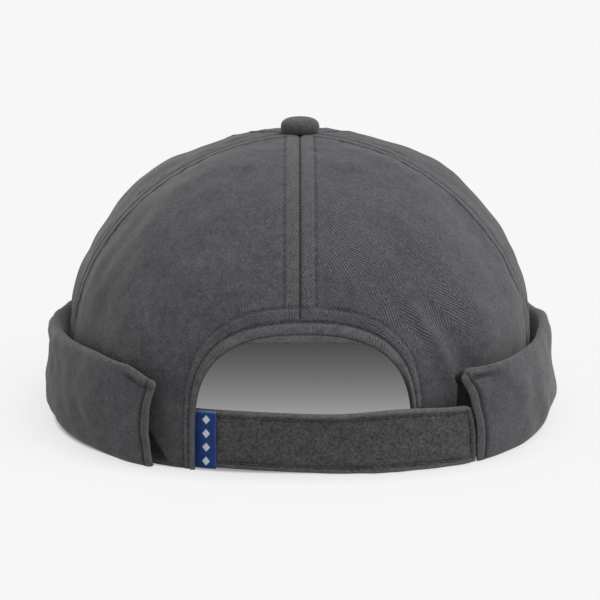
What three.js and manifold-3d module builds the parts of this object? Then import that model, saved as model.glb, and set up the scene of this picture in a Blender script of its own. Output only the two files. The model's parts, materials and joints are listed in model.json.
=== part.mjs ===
// A brimless docker cap in charcoal cotton twill: five cloth panels that meet under a covered button,
// a turned-up cuff that stops either side of an arched opening at the back, and a strap that closes it.
// Millimetres, +Z up. The wearer faces +Y, so the arch and the strap are on the -Y side.
// The origin is on the ground at the middle of the cap.

import * as THREE from 'three';
import { mergeVertices } from 'three/addons/utils/BufferGeometryUtils.js';
import Module from 'manifold-3d';

const wasm = await Module();
wasm.setup();

// Crown
const crownHalfWidth = 87;
const crownBackLength = 100;
const crownFrontLength = 101;
const crownHeight = 105.3;
const crownWallHeight = 31; // below this the side of the crown is nearly upright
const rimFlareWidth = 1.2; // how much wider the crown is at its rim than where it starts to curve in
const rimLift = 3.5; // how far the rim rises off the ground at the wearer's ears
const rimSquareness = 2.4; // 2 is an oval, higher is squarer
const crownCloth = 1.8;
const panelPuff = 1.3; // how far a panel swells between its seams
const seamGap = 0.3;
const tipHoleRadius = 2.6; // where the panel tips stop, under the button

// Cuff
const cuffHeight = 34;
const cuffStand = 8.8; // from the crown to the outside of the cuff
const cuffCloth = 2;
const cuffClearance = 0.4;
const cuffRightEndTurn = 37.5; // degrees round from the middle of the back
const cuffLeftEndTurn = -29.6;
const cuffRightEndSlant = 6.1; // degrees that the right end's top corner leans over the strap
const cuffLeftEndLean = 1.3; // degrees that the left end leans towards the arch
const cuffLeftEndBow = 1.85; // degrees that the left end is hollowed halfway up
const cuffEndHem = 3;
const cuffRightEndReach = 0.15; // the share of the cuff's way round that follows its right end's shape
const cuffLeftEndReach = 0.1;

// Arched opening at the back
const archHalfWidth = 38.3;
const archHeight = 48.9;
const archShift = 1.2; // to the right of the centre seam
const archTopSquareness = 2.4; // of its curve over the top
const archSideSquareness = 4; // and down its sides
const bindingSideWidth = 2.1;
const bindingTopWidth = 4.3;
const bindingProud = 0.5; // how far the binding stands out of the cloth, outside and inside
const bindingGap = 0.3;

// Strap and tag
const strapHeight = 21;
const strapThickness = 2.4;
const strapLift = 0.3; // from the ground to its lower edge
const strapClearance = 0.4;
const strapHiddenTurn = -30; // where its fixed end stops, inside the left back panel
const strapCornerRadius = 3.5;
const strapEndGap = 0.7; // between the free end and the end of the cuff
const strapStartTurn = 3; // degrees past the arch's left edge where it starts to come out
const strapOverTurn = 2; // degrees before the arch's right edge where it is quite out
const tagWidth = 6.6; // the length that shows past the arch's edge
const tagHidden = 4;
const tagLift = 0.1;
const tagHeight = 21.5;
const tagThickness = 0.7;

// Button
const buttonRadius = 7.3;
const buttonHeight = 5.8;
const buttonGap = 0.3;
const shankRadius = 2.2;
const shankLength = 3.4;

// The seams, in degrees round from the middle of the back, and the panel that follows each one.
const panels = [
  { name: 'crown_panel_back_right', from: 0, to: 71 },
  { name: 'crown_panel_side_right', from: 71, to: 143 },
  { name: 'crown_panel_front', from: 143, to: 217 },
  { name: 'crown_panel_side_left', from: 217, to: 289 },
  { name: 'crown_panel_back_left', from: 289, to: 360 },
];

// Soft dents (negative) and swellings of the crown. Turn is in degrees, rise is the share of the way
// up the crown, spreads are in the same units, and depth is in panel puffs.
const dents = [
  { turn: 41, rise: 0.27, turnSpread: 5, riseSpread: 0.13, depth: 1.3 },
  { turn: 29, rise: 0.25, turnSpread: 5, riseSpread: 0.12, depth: -1.1 },
  { turn: 52, rise: 0.5, turnSpread: 9, riseSpread: 0.1, depth: -0.8 },
  { turn: -38, rise: 0.22, turnSpread: 8, riseSpread: 0.09, depth: 0.8 },
  { turn: -50, rise: 0.34, turnSpread: 9, riseSpread: 0.06, depth: -0.9 },
  { turn: -30, rise: 0.52, turnSpread: 10, riseSpread: 0.08, depth: -0.6 },
  { turn: 105, rise: 0.38, turnSpread: 12, riseSpread: 0.09, depth: -1 },
  { turn: -112, rise: 0.42, turnSpread: 12, riseSpread: 0.08, depth: -0.9 },
  { turn: 166, rise: 0.36, turnSpread: 10, riseSpread: 0.1, depth: -0.9 },
  { turn: 198, rise: 0.5, turnSpread: 11, riseSpread: 0.08, depth: -0.7 },
];

// The folded cloth of the cuff, as a section: out is the share of the cuff's stand, up of its height.
const cuffFold = [
  { out: 0.45, up: 0 },
  { out: 0.72, up: 0.02 },
  { out: 0.9, up: 0.09 },
  { out: 0.985, up: 0.22 },
  { out: 1, up: 0.4 },
  { out: 0.96, up: 0.62 },
  { out: 0.88, up: 0.82 },
  { out: 0.78, up: 0.95 },
  { out: 0.62, up: 1 },
  { out: 0.46, up: 0.97 },
  { out: 0.37, up: 0.86 },
  { out: 0.24, up: 0.6 },
  { out: 0.1, up: 0.3 },
  { out: 0, up: 0.05 },
];

// How the cuff changes from its right end (0) round the front to its left end (1): the height of its
// top over the ground and its stand as shares, and how far it lifts off the crown in shares of its stand.
const cuffCourse = [
  { at: 0, height: 0.94, stand: 0.68, lift: 0.24 },
  { at: 0.01, height: 1.03, stand: 0.74, lift: 0.2 },
  { at: 0.05, height: 1.05, stand: 1, lift: 0.04 },
  { at: 0.08, height: 1.06, stand: 1.05, lift: 0 },
  { at: 0.13, height: 1.08, stand: 1.03, lift: 0 },
  { at: 0.18, height: 1.04, stand: 1, lift: 0 },
  { at: 0.25, height: 0.95, stand: 1, lift: 0 },
  { at: 0.36, height: 0.95, stand: 0.96, lift: 0 },
  { at: 0.49, height: 1, stand: 1, lift: 0 },
  { at: 0.61, height: 0.94, stand: 0.97, lift: 0 },
  { at: 0.72, height: 0.95, stand: 1, lift: 0 },
  { at: 0.79, height: 1.04, stand: 1, lift: 0 },
  { at: 0.85, height: 1.08, stand: 1, lift: 0 },
  { at: 0.9, height: 1.1, stand: 0.93, lift: 0 },
  { at: 0.945, height: 1.11, stand: 0.84, lift: 0.02 },
  { at: 0.975, height: 1.07, stand: 0.75, lift: 0.08 },
  { at: 1, height: 0.94, stand: 0.7, lift: 0.15 },
];

// The hem at each end of the cuff: distance from the end in hem widths, and the share of the cloth.
const hemCourse = [
  { at: 0, cloth: 0.8 },
  { at: 0.15, cloth: 1.15 },
  { at: 0.8, cloth: 1.15 },
  { at: 1, cloth: 0.8 },
  { at: 1.25, cloth: 1 },
];

// The strap's section, from its lower outer edge round: depth and height are shares of its own.
const strapSection = [
  { depth: 0.9, height: 0.02 },
  { depth: 1, height: 0.07 },
  { depth: 1, height: 0.93 },
  { depth: 0.9, height: 0.98 },
  { depth: 0.5, height: 1 },
  { depth: 0.1, height: 0.98 },
  { depth: 0, height: 0.93 },
  { depth: 0, height: 0.07 },
  { depth: 0.1, height: 0.02 },
  { depth: 0.5, height: 0 },
];

// The button's dome as shares of its radius and height.
const buttonProfile = [
  { radius: 0.88, height: 0 },
  { radius: 0.98, height: 0.16 },
  { radius: 1, height: 0.4 },
  { radius: 0.93, height: 0.68 },
  { radius: 0.72, height: 0.88 },
  { radius: 0.38, height: 0.98 },
];

const panelColumns = 12;
const panelRows = 16;
const cuffSteps = 48;
const strapSteps = 22;
const tagSteps = 4;
const archSteps = 18; // each side of its top
const buttonSteps = 24;
const cornerSteps = 5; // round each corner of the strap's free end
const lastCornerSwing = 84; // degrees, where the corner's curve meets the flat end
const turnSearchSteps = 8;
const weldDistance = 1e-4;
const wallShare = 0.22; // the share of the way up that the upright wall takes

const degrees = Math.PI / 180;
const { lerp, smoothstep } = THREE.MathUtils;

// Reads one column of a table of rows at a place between them.
function readTable(rows, column, at) {
  const next = rows.findIndex((row) => row.at >= at);
  if (next === 0) {
    return rows[0][column];
  }
  if (next < 0) {
    return rows[rows.length - 1][column];
  }
  const share = (at - rows[next - 1].at) / (rows[next].at - rows[next - 1].at);
  return lerp(rows[next - 1][column], rows[next][column], smoothstep(share, 0, 1));
}

// Distance from the axis to the outline of the crown in a turn's direction, for a squareness.
function planRadius(turn, squareness) {
  const across = Math.abs(Math.sin(turn * degrees)) / crownHalfWidth;
  const along = Math.cos(turn * degrees);
  const length = along > 0 ? crownBackLength : crownFrontLength;
  return (across ** squareness + (Math.abs(along) / length) ** squareness) ** (-1 / squareness);
}

// How high the crown's rim is over the ground: it lies flat at the front and the back.
function rimHeight(turn) {
  return rimLift * smoothstep(Math.abs(Math.sin(turn * degrees)), 0.5, 1);
}

// The crown without swellings. Below the rim it goes on straight down, for the slope at the rim.
function bareCrown(turn, rise) {
  const swing = Math.max(0, (rise - wallShare) / (1 - wallShare)) * Math.PI / 2;
  const share = Math.cos(swing);
  const climb = Math.min(rise / wallShare, 1);
  const wall = lerp(rimHeight(turn), crownWallHeight, climb);
  const height = wall + (crownHeight - crownWallHeight) * Math.sin(swing);
  const squareness = 2 + (rimSquareness - 2) * share;
  const radius = planRadius(turn, squareness) * share + rimFlareWidth * (1 - smoothstep(climb, 0, 1));
  return new THREE.Vector3(radius * Math.sin(turn * degrees), -radius * Math.cos(turn * degrees), height);
}

function crownNormal(turn, rise) {
  const step = 0.01;
  const along = bareCrown(turn + 1, rise).sub(bareCrown(turn - 1, rise));
  const up = bareCrown(turn, rise + step).sub(bareCrown(turn, rise - step));
  return along.cross(up).normalize();
}

function swelling(turn, rise) {
  const round = ((turn % 360) + 360) % 360;
  const panel = panels.find(({ to }) => round <= to);
  const across = Math.sin(Math.PI * (round - panel.from) / (panel.to - panel.from));
  let swell = across * smoothstep(rise, 0, 0.3) * (1 - smoothstep(rise, 0.75, 1));
  for (const dent of dents) {
    const away = ((round - dent.turn + 540) % 360) - 180;
    const reach = (away / dent.turnSpread) ** 2 + ((rise - dent.rise) / dent.riseSpread) ** 2;
    swell += dent.depth * Math.exp(-reach / 2);
  }
  return panelPuff * swell;
}

// A point of the crown's outer face, moved out along its normal by offset.
function onCrown(turn, rise, offset) {
  return bareCrown(turn, rise).addScaledVector(crownNormal(turn, rise), swelling(turn, rise) + offset);
}

function riseAtHeight(turn, height) {
  const rim = rimHeight(turn);
  if (height <= crownWallHeight) {
    return wallShare * (height - rim) / (crownWallHeight - rim);
  }
  const dome = (height - crownWallHeight) / (crownHeight - crownWallHeight);
  return wallShare + (1 - wallShare) * Math.asin(dome) / (Math.PI / 2);
}

// A point level with a height of the crown's outer face and straight out from it by a distance.
function besideCrown(turn, height, out) {
  const normal = crownNormal(turn, 0);
  return onCrown(turn, riseAtHeight(turn, height), 0).setZ(height).addScaledVector(normal.setZ(0), out);
}

function toGeometry(positions, faces) {
  const geometry = new THREE.BufferGeometry();
  geometry.setAttribute('position', new THREE.Float32BufferAttribute(positions, 3));
  geometry.setIndex(faces);
  geometry.computeVertexNormals();
  return geometry;
}

// A closed strip through rings of points, all of the same count. A ring runs out along one side of the
// cloth and back along the other, so each end is filled by triangles between the two sides.
function stripLoft(rings) {
  const count = rings[0].length;
  const last = (rings.length - 1) * count;
  const faces = [];
  for (let ring = 0; ring + 1 < rings.length; ring++) {
    for (let i = 0; i < count; i++) {
      const a = ring * count + i;
      const b = ring * count + (i + 1) % count;
      faces.push(a, b + count, b, a, a + count, b + count);
    }
  }
  for (let i = 0; i + 1 < count / 2; i++) {
    const j = count - 1 - i;
    faces.push(i, j - 1, j, i, i + 1, j - 1);
    faces.push(last + i, last + j, last + j - 1, last + i, last + j - 1, last + i + 1);
  }
  return toGeometry(rings.flat().flatMap((point) => point.toArray()), faces);
}

// A sheet of cloth between an outer and an inner face: pointAt(across, up, side), side 1 is outer.
function cloth(pointAt, columns, rows) {
  const rings = [];
  for (let column = 0; column <= columns; column++) {
    const ring = [];
    for (let row = 0; row <= rows; row++) {
      ring.push(pointAt(column / columns, row / rows, 1));
    }
    for (let row = rows; row >= 0; row--) {
      ring.push(pointAt(column / columns, row / rows, 0));
    }
    rings.push(ring);
  }
  return stripLoft(rings);
}

function toSolid(geometry) {
  const bare = geometry.clone();
  bare.deleteAttribute('normal');
  bare.deleteAttribute('uv');
  const merged = mergeVertices(bare, weldDistance);
  const vertProperties = new Float32Array(merged.attributes.position.array);
  const triVerts = new Uint32Array(merged.index.array);
  return new wasm.Manifold(new wasm.Mesh({ numProp: 3, vertProperties, triVerts }));
}

function fromSolid(solid) {
  const mesh = solid.getMesh();
  return toGeometry(Array.from(mesh.vertProperties), Array.from(mesh.triVerts));
}

// A prism along Y with the arch's outline, grown at its sides and its top, that reaches from below
// the rim upward and through the back of the crown alone.
function archPrism(sideGrowth, topGrowth) {
  const half = [];
  for (let i = 0; i <= archSteps; i++) {
    const swing = (i / archSteps) * Math.PI / 2;
    half.push([
      (archHalfWidth + sideGrowth) * Math.cos(swing) ** (2 / archTopSquareness),
      (archHeight + topGrowth) * Math.sin(swing) ** (2 / archSideSquareness),
    ]);
  }
  const outline = new THREE.Shape();
  outline.moveTo(archShift - half[0][0], -archHeight);
  outline.lineTo(archShift + half[0][0], -archHeight);
  half.forEach(([x, z]) => outline.lineTo(archShift + x, z));
  half.slice(0, -1).reverse().forEach(([x, z]) => outline.lineTo(archShift - x, z));
  const prism = new THREE.ExtrudeGeometry(outline, { depth: 2 * crownBackLength, bevelEnabled: false });
  prism.rotateX(Math.PI / 2);
  return toSolid(prism);
}

const tipRise = wallShare
  + (1 - wallShare) * Math.acos(tipHoleRadius / crownHalfWidth) / (Math.PI / 2);

// A crown panel from its rim to its tip, half a seam gap inside each seam.
function crownPanel({ from, to }) {
  return cloth((across, up, side) => {
    const rise = tipRise * up;
    const radius = bareCrown(from, rise).setZ(0).length();
    const inset = Math.asin(seamGap / 2 / radius) / degrees;
    const turn = lerp(from + inset, to - inset, across);
    return onCrown(turn, rise, side ? 0 : -crownCloth);
  }, panelColumns, panelRows);
}

function backPanel(panel) {
  const opening = archPrism(bindingSideWidth + bindingGap, bindingTopWidth + bindingGap);
  return fromSolid(toSolid(crownPanel(panel)).subtract(opening));
}

// The binding: a strip of a slightly thicker shell that follows the arch's edge.
function archBinding() {
  const sideTurn = 35;
  const topRise = 0.5;
  const shell = cloth((across, up, side) => {
    const turn = lerp(-sideTurn, sideTurn, across);
    return onCrown(turn, topRise * up, side ? bindingProud : -crownCloth - bindingProud);
  }, panelColumns, panelRows / 2);
  const strip = archPrism(bindingSideWidth, bindingTopWidth).subtract(archPrism(0, 0));
  return fromSolid(toSolid(shell).intersect(strip));
}

// The section of the cuff's folded cloth at one place: a closed ring of out and up.
function cuffSection(at, clothShare, rim) {
  const thickness = cuffCloth * clothShare;
  const height = cuffHeight * readTable(cuffCourse, 'height', at);
  const stand = cuffStand * readTable(cuffCourse, 'stand', at);
  const lift = cuffStand * readTable(cuffCourse, 'lift', at);
  const middle = [new THREE.Vector2(cuffClearance + lift, rim + cuffCloth / 2)];
  for (const { out, up } of cuffFold) {
    middle.push(new THREE.Vector2(
      lerp(cuffClearance + cuffCloth / 2, stand - cuffCloth / 2, out) + lift,
      lerp(rim + cuffCloth / 2, height - cuffCloth / 2, up),
    ));
  }
  const sides = middle.map((point, i) => {
    const before = middle[Math.max(i - 1, 0)];
    const after = middle[Math.min(i + 1, middle.length - 1)];
    const along = after.clone().sub(before).normalize();
    return new THREE.Vector2(along.y, -along.x).multiplyScalar(thickness / 2);
  });
  const outer = middle.map((point, i) => point.clone().add(sides[i]));
  const inner = middle.map((point, i) => point.clone().sub(sides[i]));
  // The underside is laid flat.
  outer[0].y = rim;
  outer[1].y = rim;
  return [...outer, ...inner.reverse()];
}

// Where each end of the cuff is, in degrees round, at a height.
function cuffRightEnd(height) {
  return cuffRightEndTurn - cuffRightEndSlant * Math.min(height / cuffHeight, 1) ** 3;
}

function cuffLeftEnd(height) {
  const share = Math.min(height / cuffHeight, 1);
  return cuffLeftEndTurn + cuffLeftEndLean * share - cuffLeftEndBow * Math.sin(Math.PI * share);
}

function cuff() {
  const sweep = cuffLeftEndTurn + 360 - cuffRightEndTurn;
  const hemShare = cuffEndHem / (crownBackLength * degrees) / sweep;
  const firstStep = hemShare * (hemCourse[hemCourse.length - 1].at + 1);
  const places = hemCourse.map(({ at, cloth: share }) => ({ at: at * hemShare, share }));
  for (let i = 0; i <= cuffSteps; i++) {
    places.push({ at: lerp(firstStep, 1 - firstStep, i / cuffSteps), share: 1 });
  }
  for (const { at, cloth: share } of [...hemCourse].reverse()) {
    places.push({ at: 1 - at * hemShare, share });
  }
  const rings = places.map(({ at, share }) => {
    const turn = cuffRightEndTurn + sweep * at;
    return cuffSection(at, share, rimHeight(turn)).map(({ x: out, y: up }) => {
      const nearRight = (cuffRightEnd(up) - cuffRightEndTurn) * (1 - smoothstep(at, 0, cuffRightEndReach));
      const nearLeft = (cuffLeftEnd(up) - cuffLeftEndTurn) * smoothstep(at, 1 - cuffLeftEndReach, 1);
      return besideCrown(turn + nearRight + nearLeft, up, out);
    });
  });
  return stripLoft(rings);
}

// Degrees round at which a point of the crown's back is a distance to the right of the seam.
function turnAtX(x) {
  let turn = Math.atan2(x, crownBackLength) / degrees;
  for (let i = 0; i < turnSearchSteps; i++) {
    const point = bareCrown(turn, 0);
    turn = Math.atan2(x, -point.y) / degrees;
  }
  return turn;
}

const archLeftTurn = turnAtX(archShift - archHalfWidth);
const archRightTurn = turnAtX(archShift + archHalfWidth);

// How far out of the crown's face the strap's inner face lies: inside the left panel, behind the
// binding and the tag, then out through the arch and over the right panel.
function strapOut(turn) {
  const inside = -crownCloth - bindingProud - 2 * strapClearance - tagThickness - strapThickness;
  const outside = bindingProud + strapClearance;
  const start = archLeftTurn + strapStartTurn;
  return lerp(inside, outside, smoothstep(turn, start, archRightTurn - strapOverTurn));
}

function strap() {
  const rings = [];
  const endGap = strapEndGap / (crownBackLength * degrees);
  const places = [];
  for (let i = 0; i <= strapSteps; i++) {
    places.push({ share: i / strapSteps, back: strapCornerRadius });
  }
  for (let i = 1; i <= cornerSteps; i++) {
    const swing = lastCornerSwing * i / cornerSteps;
    places.push({ share: 1, back: strapCornerRadius * (1 - Math.sin(swing * degrees)) });
  }
  places.push({ share: 1, back: 0, thin: 0.5 });
  for (const { share, back, thin = 1 } of places) {
    const rounding = Math.max(0, 1 - back / strapCornerRadius);
    const nip = strapCornerRadius * (1 - Math.sqrt(1 - rounding ** 2));
    const ring = strapSection.map(({ depth, height }) => {
      const up = strapLift + lerp(nip, strapHeight - nip, height);
      const end = cuffRightEnd(up) - endGap - back / (crownBackLength * degrees);
      const turn = lerp(strapHiddenTurn, end, share);
      return besideCrown(turn, up, strapOut(turn) + strapThickness * lerp(0.5, depth, thin));
    });
    rings.push(ring);
  }
  return stripLoft(rings);
}

// The tag lies on the strap's left end, with its own hidden end under the binding.
function tag() {
  const hiddenTurn = turnAtX(archShift - archHalfWidth - tagHidden);
  const shownTurn = turnAtX(archShift - archHalfWidth + tagWidth);
  return cloth((across, up, side) => {
    const turn = lerp(hiddenTurn, shownTurn, across);
    const out = strapOut(turn) + strapThickness + strapClearance + (side ? tagThickness : 0);
    return besideCrown(turn, tagLift + tagHeight * up, out);
  }, tagSteps, tagSteps);
}

// A covered button on a short shank that passes through the hole between the panel tips.
function button() {
  const profile = [
    [0, -shankLength],
    [shankRadius, -shankLength],
    [shankRadius, 0],
    ...buttonProfile.map(({ radius, height }) => [radius * buttonRadius, height * buttonHeight]),
    [0, buttonHeight],
  ].map(([radius, height]) => new THREE.Vector2(radius, height));
  const turned = new THREE.LatheGeometry(profile, buttonSteps);
  turned.rotateX(Math.PI / 2);
  return fromSolid(toSolid(turned));
}

const charcoal = new THREE.MeshStandardMaterial({ color: 0x58585b, roughness: 0.92, metalness: 0 });
const cuffCharcoal = new THREE.MeshStandardMaterial({ color: 0x535356, roughness: 0.92, metalness: 0 });
const strapCharcoal = new THREE.MeshStandardMaterial({ color: 0x4a4a4c, roughness: 0.95, metalness: 0 });
const tagBlue = new THREE.MeshStandardMaterial({ color: 0x1f3a78, roughness: 0.6, metalness: 0 });

function named(name, geometry, material) {
  const mesh = new THREE.Mesh(geometry, material);
  mesh.name = name;
  return mesh;
}

const cap = new THREE.Group();
for (const panel of panels) {
  const meetsArch = panel.from === 0 || panel.to === 360;
  cap.add(named(panel.name, meetsArch ? backPanel(panel) : crownPanel(panel), charcoal));
}
cap.add(named('arch_binding', archBinding(), charcoal));
cap.add(named('cuff', cuff(), cuffCharcoal));
cap.add(named('adjuster_strap', strap(), strapCharcoal));
cap.add(named('strap_tag', tag(), tagBlue));

const topButton = named('top_button', button(), charcoal);
topButton.position.z = crownHeight + buttonGap;
cap.add(topButton);

// The cap is moved so that the origin is on the ground at the middle of its box.
const box = new THREE.Box3().setFromObject(cap, true);
const middle = box.getCenter(new THREE.Vector3());
cap.position.set(-middle.x, -middle.y, -box.min.z);

const placed = new THREE.Group();
placed.add(cap);

export default placed;
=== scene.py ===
# %% [markdown]
# This lesson dresses a brimless docker cap: five panels of charcoal herringbone twill under a covered
# button, a turned-up cuff, and a strap that closes an arched opening at the back.
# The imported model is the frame: it holds the size and the place of each part. Every cell below makes
# one cloth piece round that frame, in metres, with +Y towards the wearer's face.

# %% Load the frame
import json

import bmesh
import bpy
import numpy as np
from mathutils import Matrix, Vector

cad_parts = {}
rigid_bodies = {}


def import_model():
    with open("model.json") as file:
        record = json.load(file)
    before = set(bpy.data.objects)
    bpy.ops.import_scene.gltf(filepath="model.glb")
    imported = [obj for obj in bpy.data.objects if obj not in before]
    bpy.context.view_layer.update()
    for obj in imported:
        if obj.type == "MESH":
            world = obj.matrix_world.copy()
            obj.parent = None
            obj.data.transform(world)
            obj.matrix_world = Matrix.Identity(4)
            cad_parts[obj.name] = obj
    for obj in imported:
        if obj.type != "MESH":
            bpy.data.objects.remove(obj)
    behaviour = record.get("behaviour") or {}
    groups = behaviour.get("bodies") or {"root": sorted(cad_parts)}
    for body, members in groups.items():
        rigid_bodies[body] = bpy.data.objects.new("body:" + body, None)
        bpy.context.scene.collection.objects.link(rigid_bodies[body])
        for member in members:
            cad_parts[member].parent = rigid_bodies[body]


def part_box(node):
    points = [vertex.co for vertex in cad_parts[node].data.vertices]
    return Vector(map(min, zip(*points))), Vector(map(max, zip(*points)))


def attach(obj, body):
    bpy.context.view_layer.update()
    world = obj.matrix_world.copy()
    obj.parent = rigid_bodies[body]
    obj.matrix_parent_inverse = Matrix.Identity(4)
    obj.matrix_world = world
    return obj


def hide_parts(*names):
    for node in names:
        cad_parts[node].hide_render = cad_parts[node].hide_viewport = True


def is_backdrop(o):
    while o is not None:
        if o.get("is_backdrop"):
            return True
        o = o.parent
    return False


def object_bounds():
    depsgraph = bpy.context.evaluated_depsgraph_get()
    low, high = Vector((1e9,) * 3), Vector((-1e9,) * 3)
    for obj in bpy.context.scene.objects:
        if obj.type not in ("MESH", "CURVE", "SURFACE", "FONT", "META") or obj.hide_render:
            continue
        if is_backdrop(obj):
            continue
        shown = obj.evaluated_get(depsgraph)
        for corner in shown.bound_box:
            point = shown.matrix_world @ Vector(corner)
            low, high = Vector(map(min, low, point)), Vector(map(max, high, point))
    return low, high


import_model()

cad_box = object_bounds()
mm = 0.001
print("frame", [round(float(x) / mm, 1) for corner in cad_box for x in corner])

# %% [markdown]
# A cap like this is cut flat and sewn into a dome, so its shape is easiest to say as a formula: an
# outline seen from above that is squarer at the rim than at the top, an almost upright wall, and an
# elliptical dome over it. Every point of the cloth then has two names, its turn (degrees round from
# the middle of the back) and its rise (0 at the rim, 1 at the top). The panels, the seams, the cuff
# and the strap all lean on this one surface, which is why they fit each other.

# %% The crown as a formula
button_low, button_high = (np.array(corner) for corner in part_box("top_button"))
axis = (button_low + button_high) / 2
crown_half_width = 87 * mm
crown_back_length = 100 * mm
crown_front_length = 101 * mm
crown_height = 105.3 * mm
crown_wall_height = 31 * mm
rim_flare = 1.2 * mm
rim_lift = 3.5 * mm
rim_squareness = 2.4
wall_share = 0.22


def lerp(a, b, share):
    return a + (b - a) * share


def smoothstep(x, low, high):
    share = np.clip((x - low) / (high - low), 0, 1)
    return share * share * (3 - 2 * share)


def unit(vectors):
    return vectors / np.linalg.norm(vectors, axis=-1, keepdims=True)


def plan_radius(turn, squareness):
    across = np.abs(np.sin(np.radians(turn))) / crown_half_width
    along = np.cos(np.radians(turn))
    length = np.where(along > 0, crown_back_length, crown_front_length)
    return (across**squareness + (np.abs(along) / length) ** squareness) ** (-1 / squareness)


def rim_height(turn):
    return rim_lift * smoothstep(np.abs(np.sin(np.radians(turn))), 0.5, 1)


def bare_crown(turn, rise):
    swing = np.maximum(0, (rise - wall_share) / (1 - wall_share)) * np.pi / 2
    share = np.cos(swing)
    climb = np.minimum(rise / wall_share, 1)
    wall = lerp(rim_height(turn), crown_wall_height, climb)
    height = wall + (crown_height - crown_wall_height) * np.sin(swing)
    squareness = 2 + (rim_squareness - 2) * share
    radius = plan_radius(turn, squareness) * share + rim_flare * (1 - smoothstep(climb, 0, 1))
    x = axis[0] + radius * np.sin(np.radians(turn))
    y = axis[1] - radius * np.cos(np.radians(turn))
    return np.stack([x, y, height], axis=-1)


def crown_normal(turn, rise):
    along = bare_crown(turn + 1, rise) - bare_crown(turn - 1, rise)
    up = bare_crown(turn, rise + 0.01) - bare_crown(turn, rise - 0.01)
    return unit(np.cross(along, up))


def rise_at_height(turn, height):
    rim = rim_height(turn)
    dome = np.clip((height - crown_wall_height) / (crown_height - crown_wall_height), 0, 1)
    on_dome = wall_share + (1 - wall_share) * np.arcsin(dome) / (np.pi / 2)
    on_wall = wall_share * (height - rim) / (crown_wall_height - rim)
    return np.where(height <= crown_wall_height, on_wall, on_dome)


print("crown half width", crown_half_width, "height", crown_height, "axis", axis.round(4))

# %% [markdown]
# No sewn cap is a perfect dome. Each panel swells a little between its seams, and handling leaves soft
# dents. The large ones are listed one by one, because the photograph shows where they are, and a sum
# of a few slow waves with random directions gives the rest of the cloth its unevenness. The waves are
# seeded, so the cap comes out the same each time.

# %% Swellings, dents and soft waves
seams = [0, 71, 143, 217, 289, 360]
panel_puff = 1.3 * mm
dents = [
    {"turn": 41, "rise": 0.27, "turn_spread": 5, "rise_spread": 0.13, "depth": 1.3},
    {"turn": 29, "rise": 0.25, "turn_spread": 5, "rise_spread": 0.12, "depth": -1.1},
    {"turn": 52, "rise": 0.5, "turn_spread": 9, "rise_spread": 0.1, "depth": -0.8},
    {"turn": -38, "rise": 0.22, "turn_spread": 8, "rise_spread": 0.09, "depth": 0.8},
    {"turn": -50, "rise": 0.34, "turn_spread": 9, "rise_spread": 0.06, "depth": -0.9},
    {"turn": -30, "rise": 0.52, "turn_spread": 10, "rise_spread": 0.08, "depth": -0.6},
    {"turn": 105, "rise": 0.38, "turn_spread": 12, "rise_spread": 0.09, "depth": -1},
    {"turn": -112, "rise": 0.42, "turn_spread": 12, "rise_spread": 0.08, "depth": -0.9},
    {"turn": 166, "rise": 0.36, "turn_spread": 10, "rise_spread": 0.1, "depth": -0.9},
    {"turn": 198, "rise": 0.5, "turn_spread": 11, "rise_spread": 0.08, "depth": -0.7},
]


def swelling(turn, rise):
    around = np.mod(turn, 360)
    swell = np.zeros(np.broadcast(turn, rise).shape)
    for start, end in zip(seams, seams[1:]):
        across = np.sin(np.pi * (around - start) / (end - start))
        rises = smoothstep(rise, 0, 0.3) * (1 - smoothstep(rise, 0.75, 1))
        swell = np.where((around >= start) & (around <= end), across * rises, swell)
    for dent in dents:
        away = np.mod(around - dent["turn"] + 540, 360) - 180
        reach = (away / dent["turn_spread"]) ** 2 + ((rise - dent["rise"]) / dent["rise_spread"]) ** 2
        swell = swell + dent["depth"] * np.exp(-reach / 2)
    return panel_puff * swell


def soft_waves(points, wavelength, seed, count=14):
    chance = np.random.default_rng(seed)
    total = np.zeros(points.shape[:-1])
    for _ in range(count):
        direction = unit(chance.normal(size=3))
        pace = 2 * np.pi / (wavelength * chance.uniform(0.7, 1.6))
        total += np.sin(points @ direction * pace + chance.uniform(0, 2 * np.pi))
    return total / np.sqrt(count / 2)


# %% [markdown]
# The arched opening and the lines of stitching above it are a family of nested outlines. A number
# called ring says which one a point is on: 0 is the edge of the opening, 1 the inner stitch line, where
# the bound edge stops, and a little over 2 the outer stitch line. Solving for ring by halving an
# interval is slow to think of and quick to write, and it works for a whole grid of points at once.

# %% The arch and its nested outlines
arch_half_width = 38.3 * mm
arch_height = 48.9 * mm
arch_shift = 1.2 * mm
arch_top_squareness = 2.4
arch_side_squareness = 4
ring_side_step = 2.1 * mm
ring_top_step = 4.3 * mm
outer_stitch_ring = 2.15
panel_edge_ring = 1.02
furthest_ring = 30


def arch_ring(x, z):
    low = np.full(x.shape, -6.0)
    high = np.full(x.shape, float(furthest_ring))
    for _ in range(36):
        ring = (low + high) / 2
        wide = np.abs(x - axis[0] - arch_shift) / (arch_half_width + ring_side_step * ring)
        tall = np.maximum(z, 0) / (arch_height + ring_top_step * ring)
        outside = wide**arch_top_squareness + tall**arch_side_squareness > 1
        low = np.where(outside, ring, low)
        high = np.where(outside, high, ring)
    return (low + high) / 2


def turn_at(x, rise_of_turn):
    low = np.full(x.shape, -80.0)
    high = np.full(x.shape, 80.0)
    for _ in range(36):
        turn = (low + high) / 2
        short = bare_crown(turn, rise_of_turn(turn))[..., 0] < x
        low = np.where(short, turn, low)
        high = np.where(short, high, turn)
    return (low + high) / 2


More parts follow.
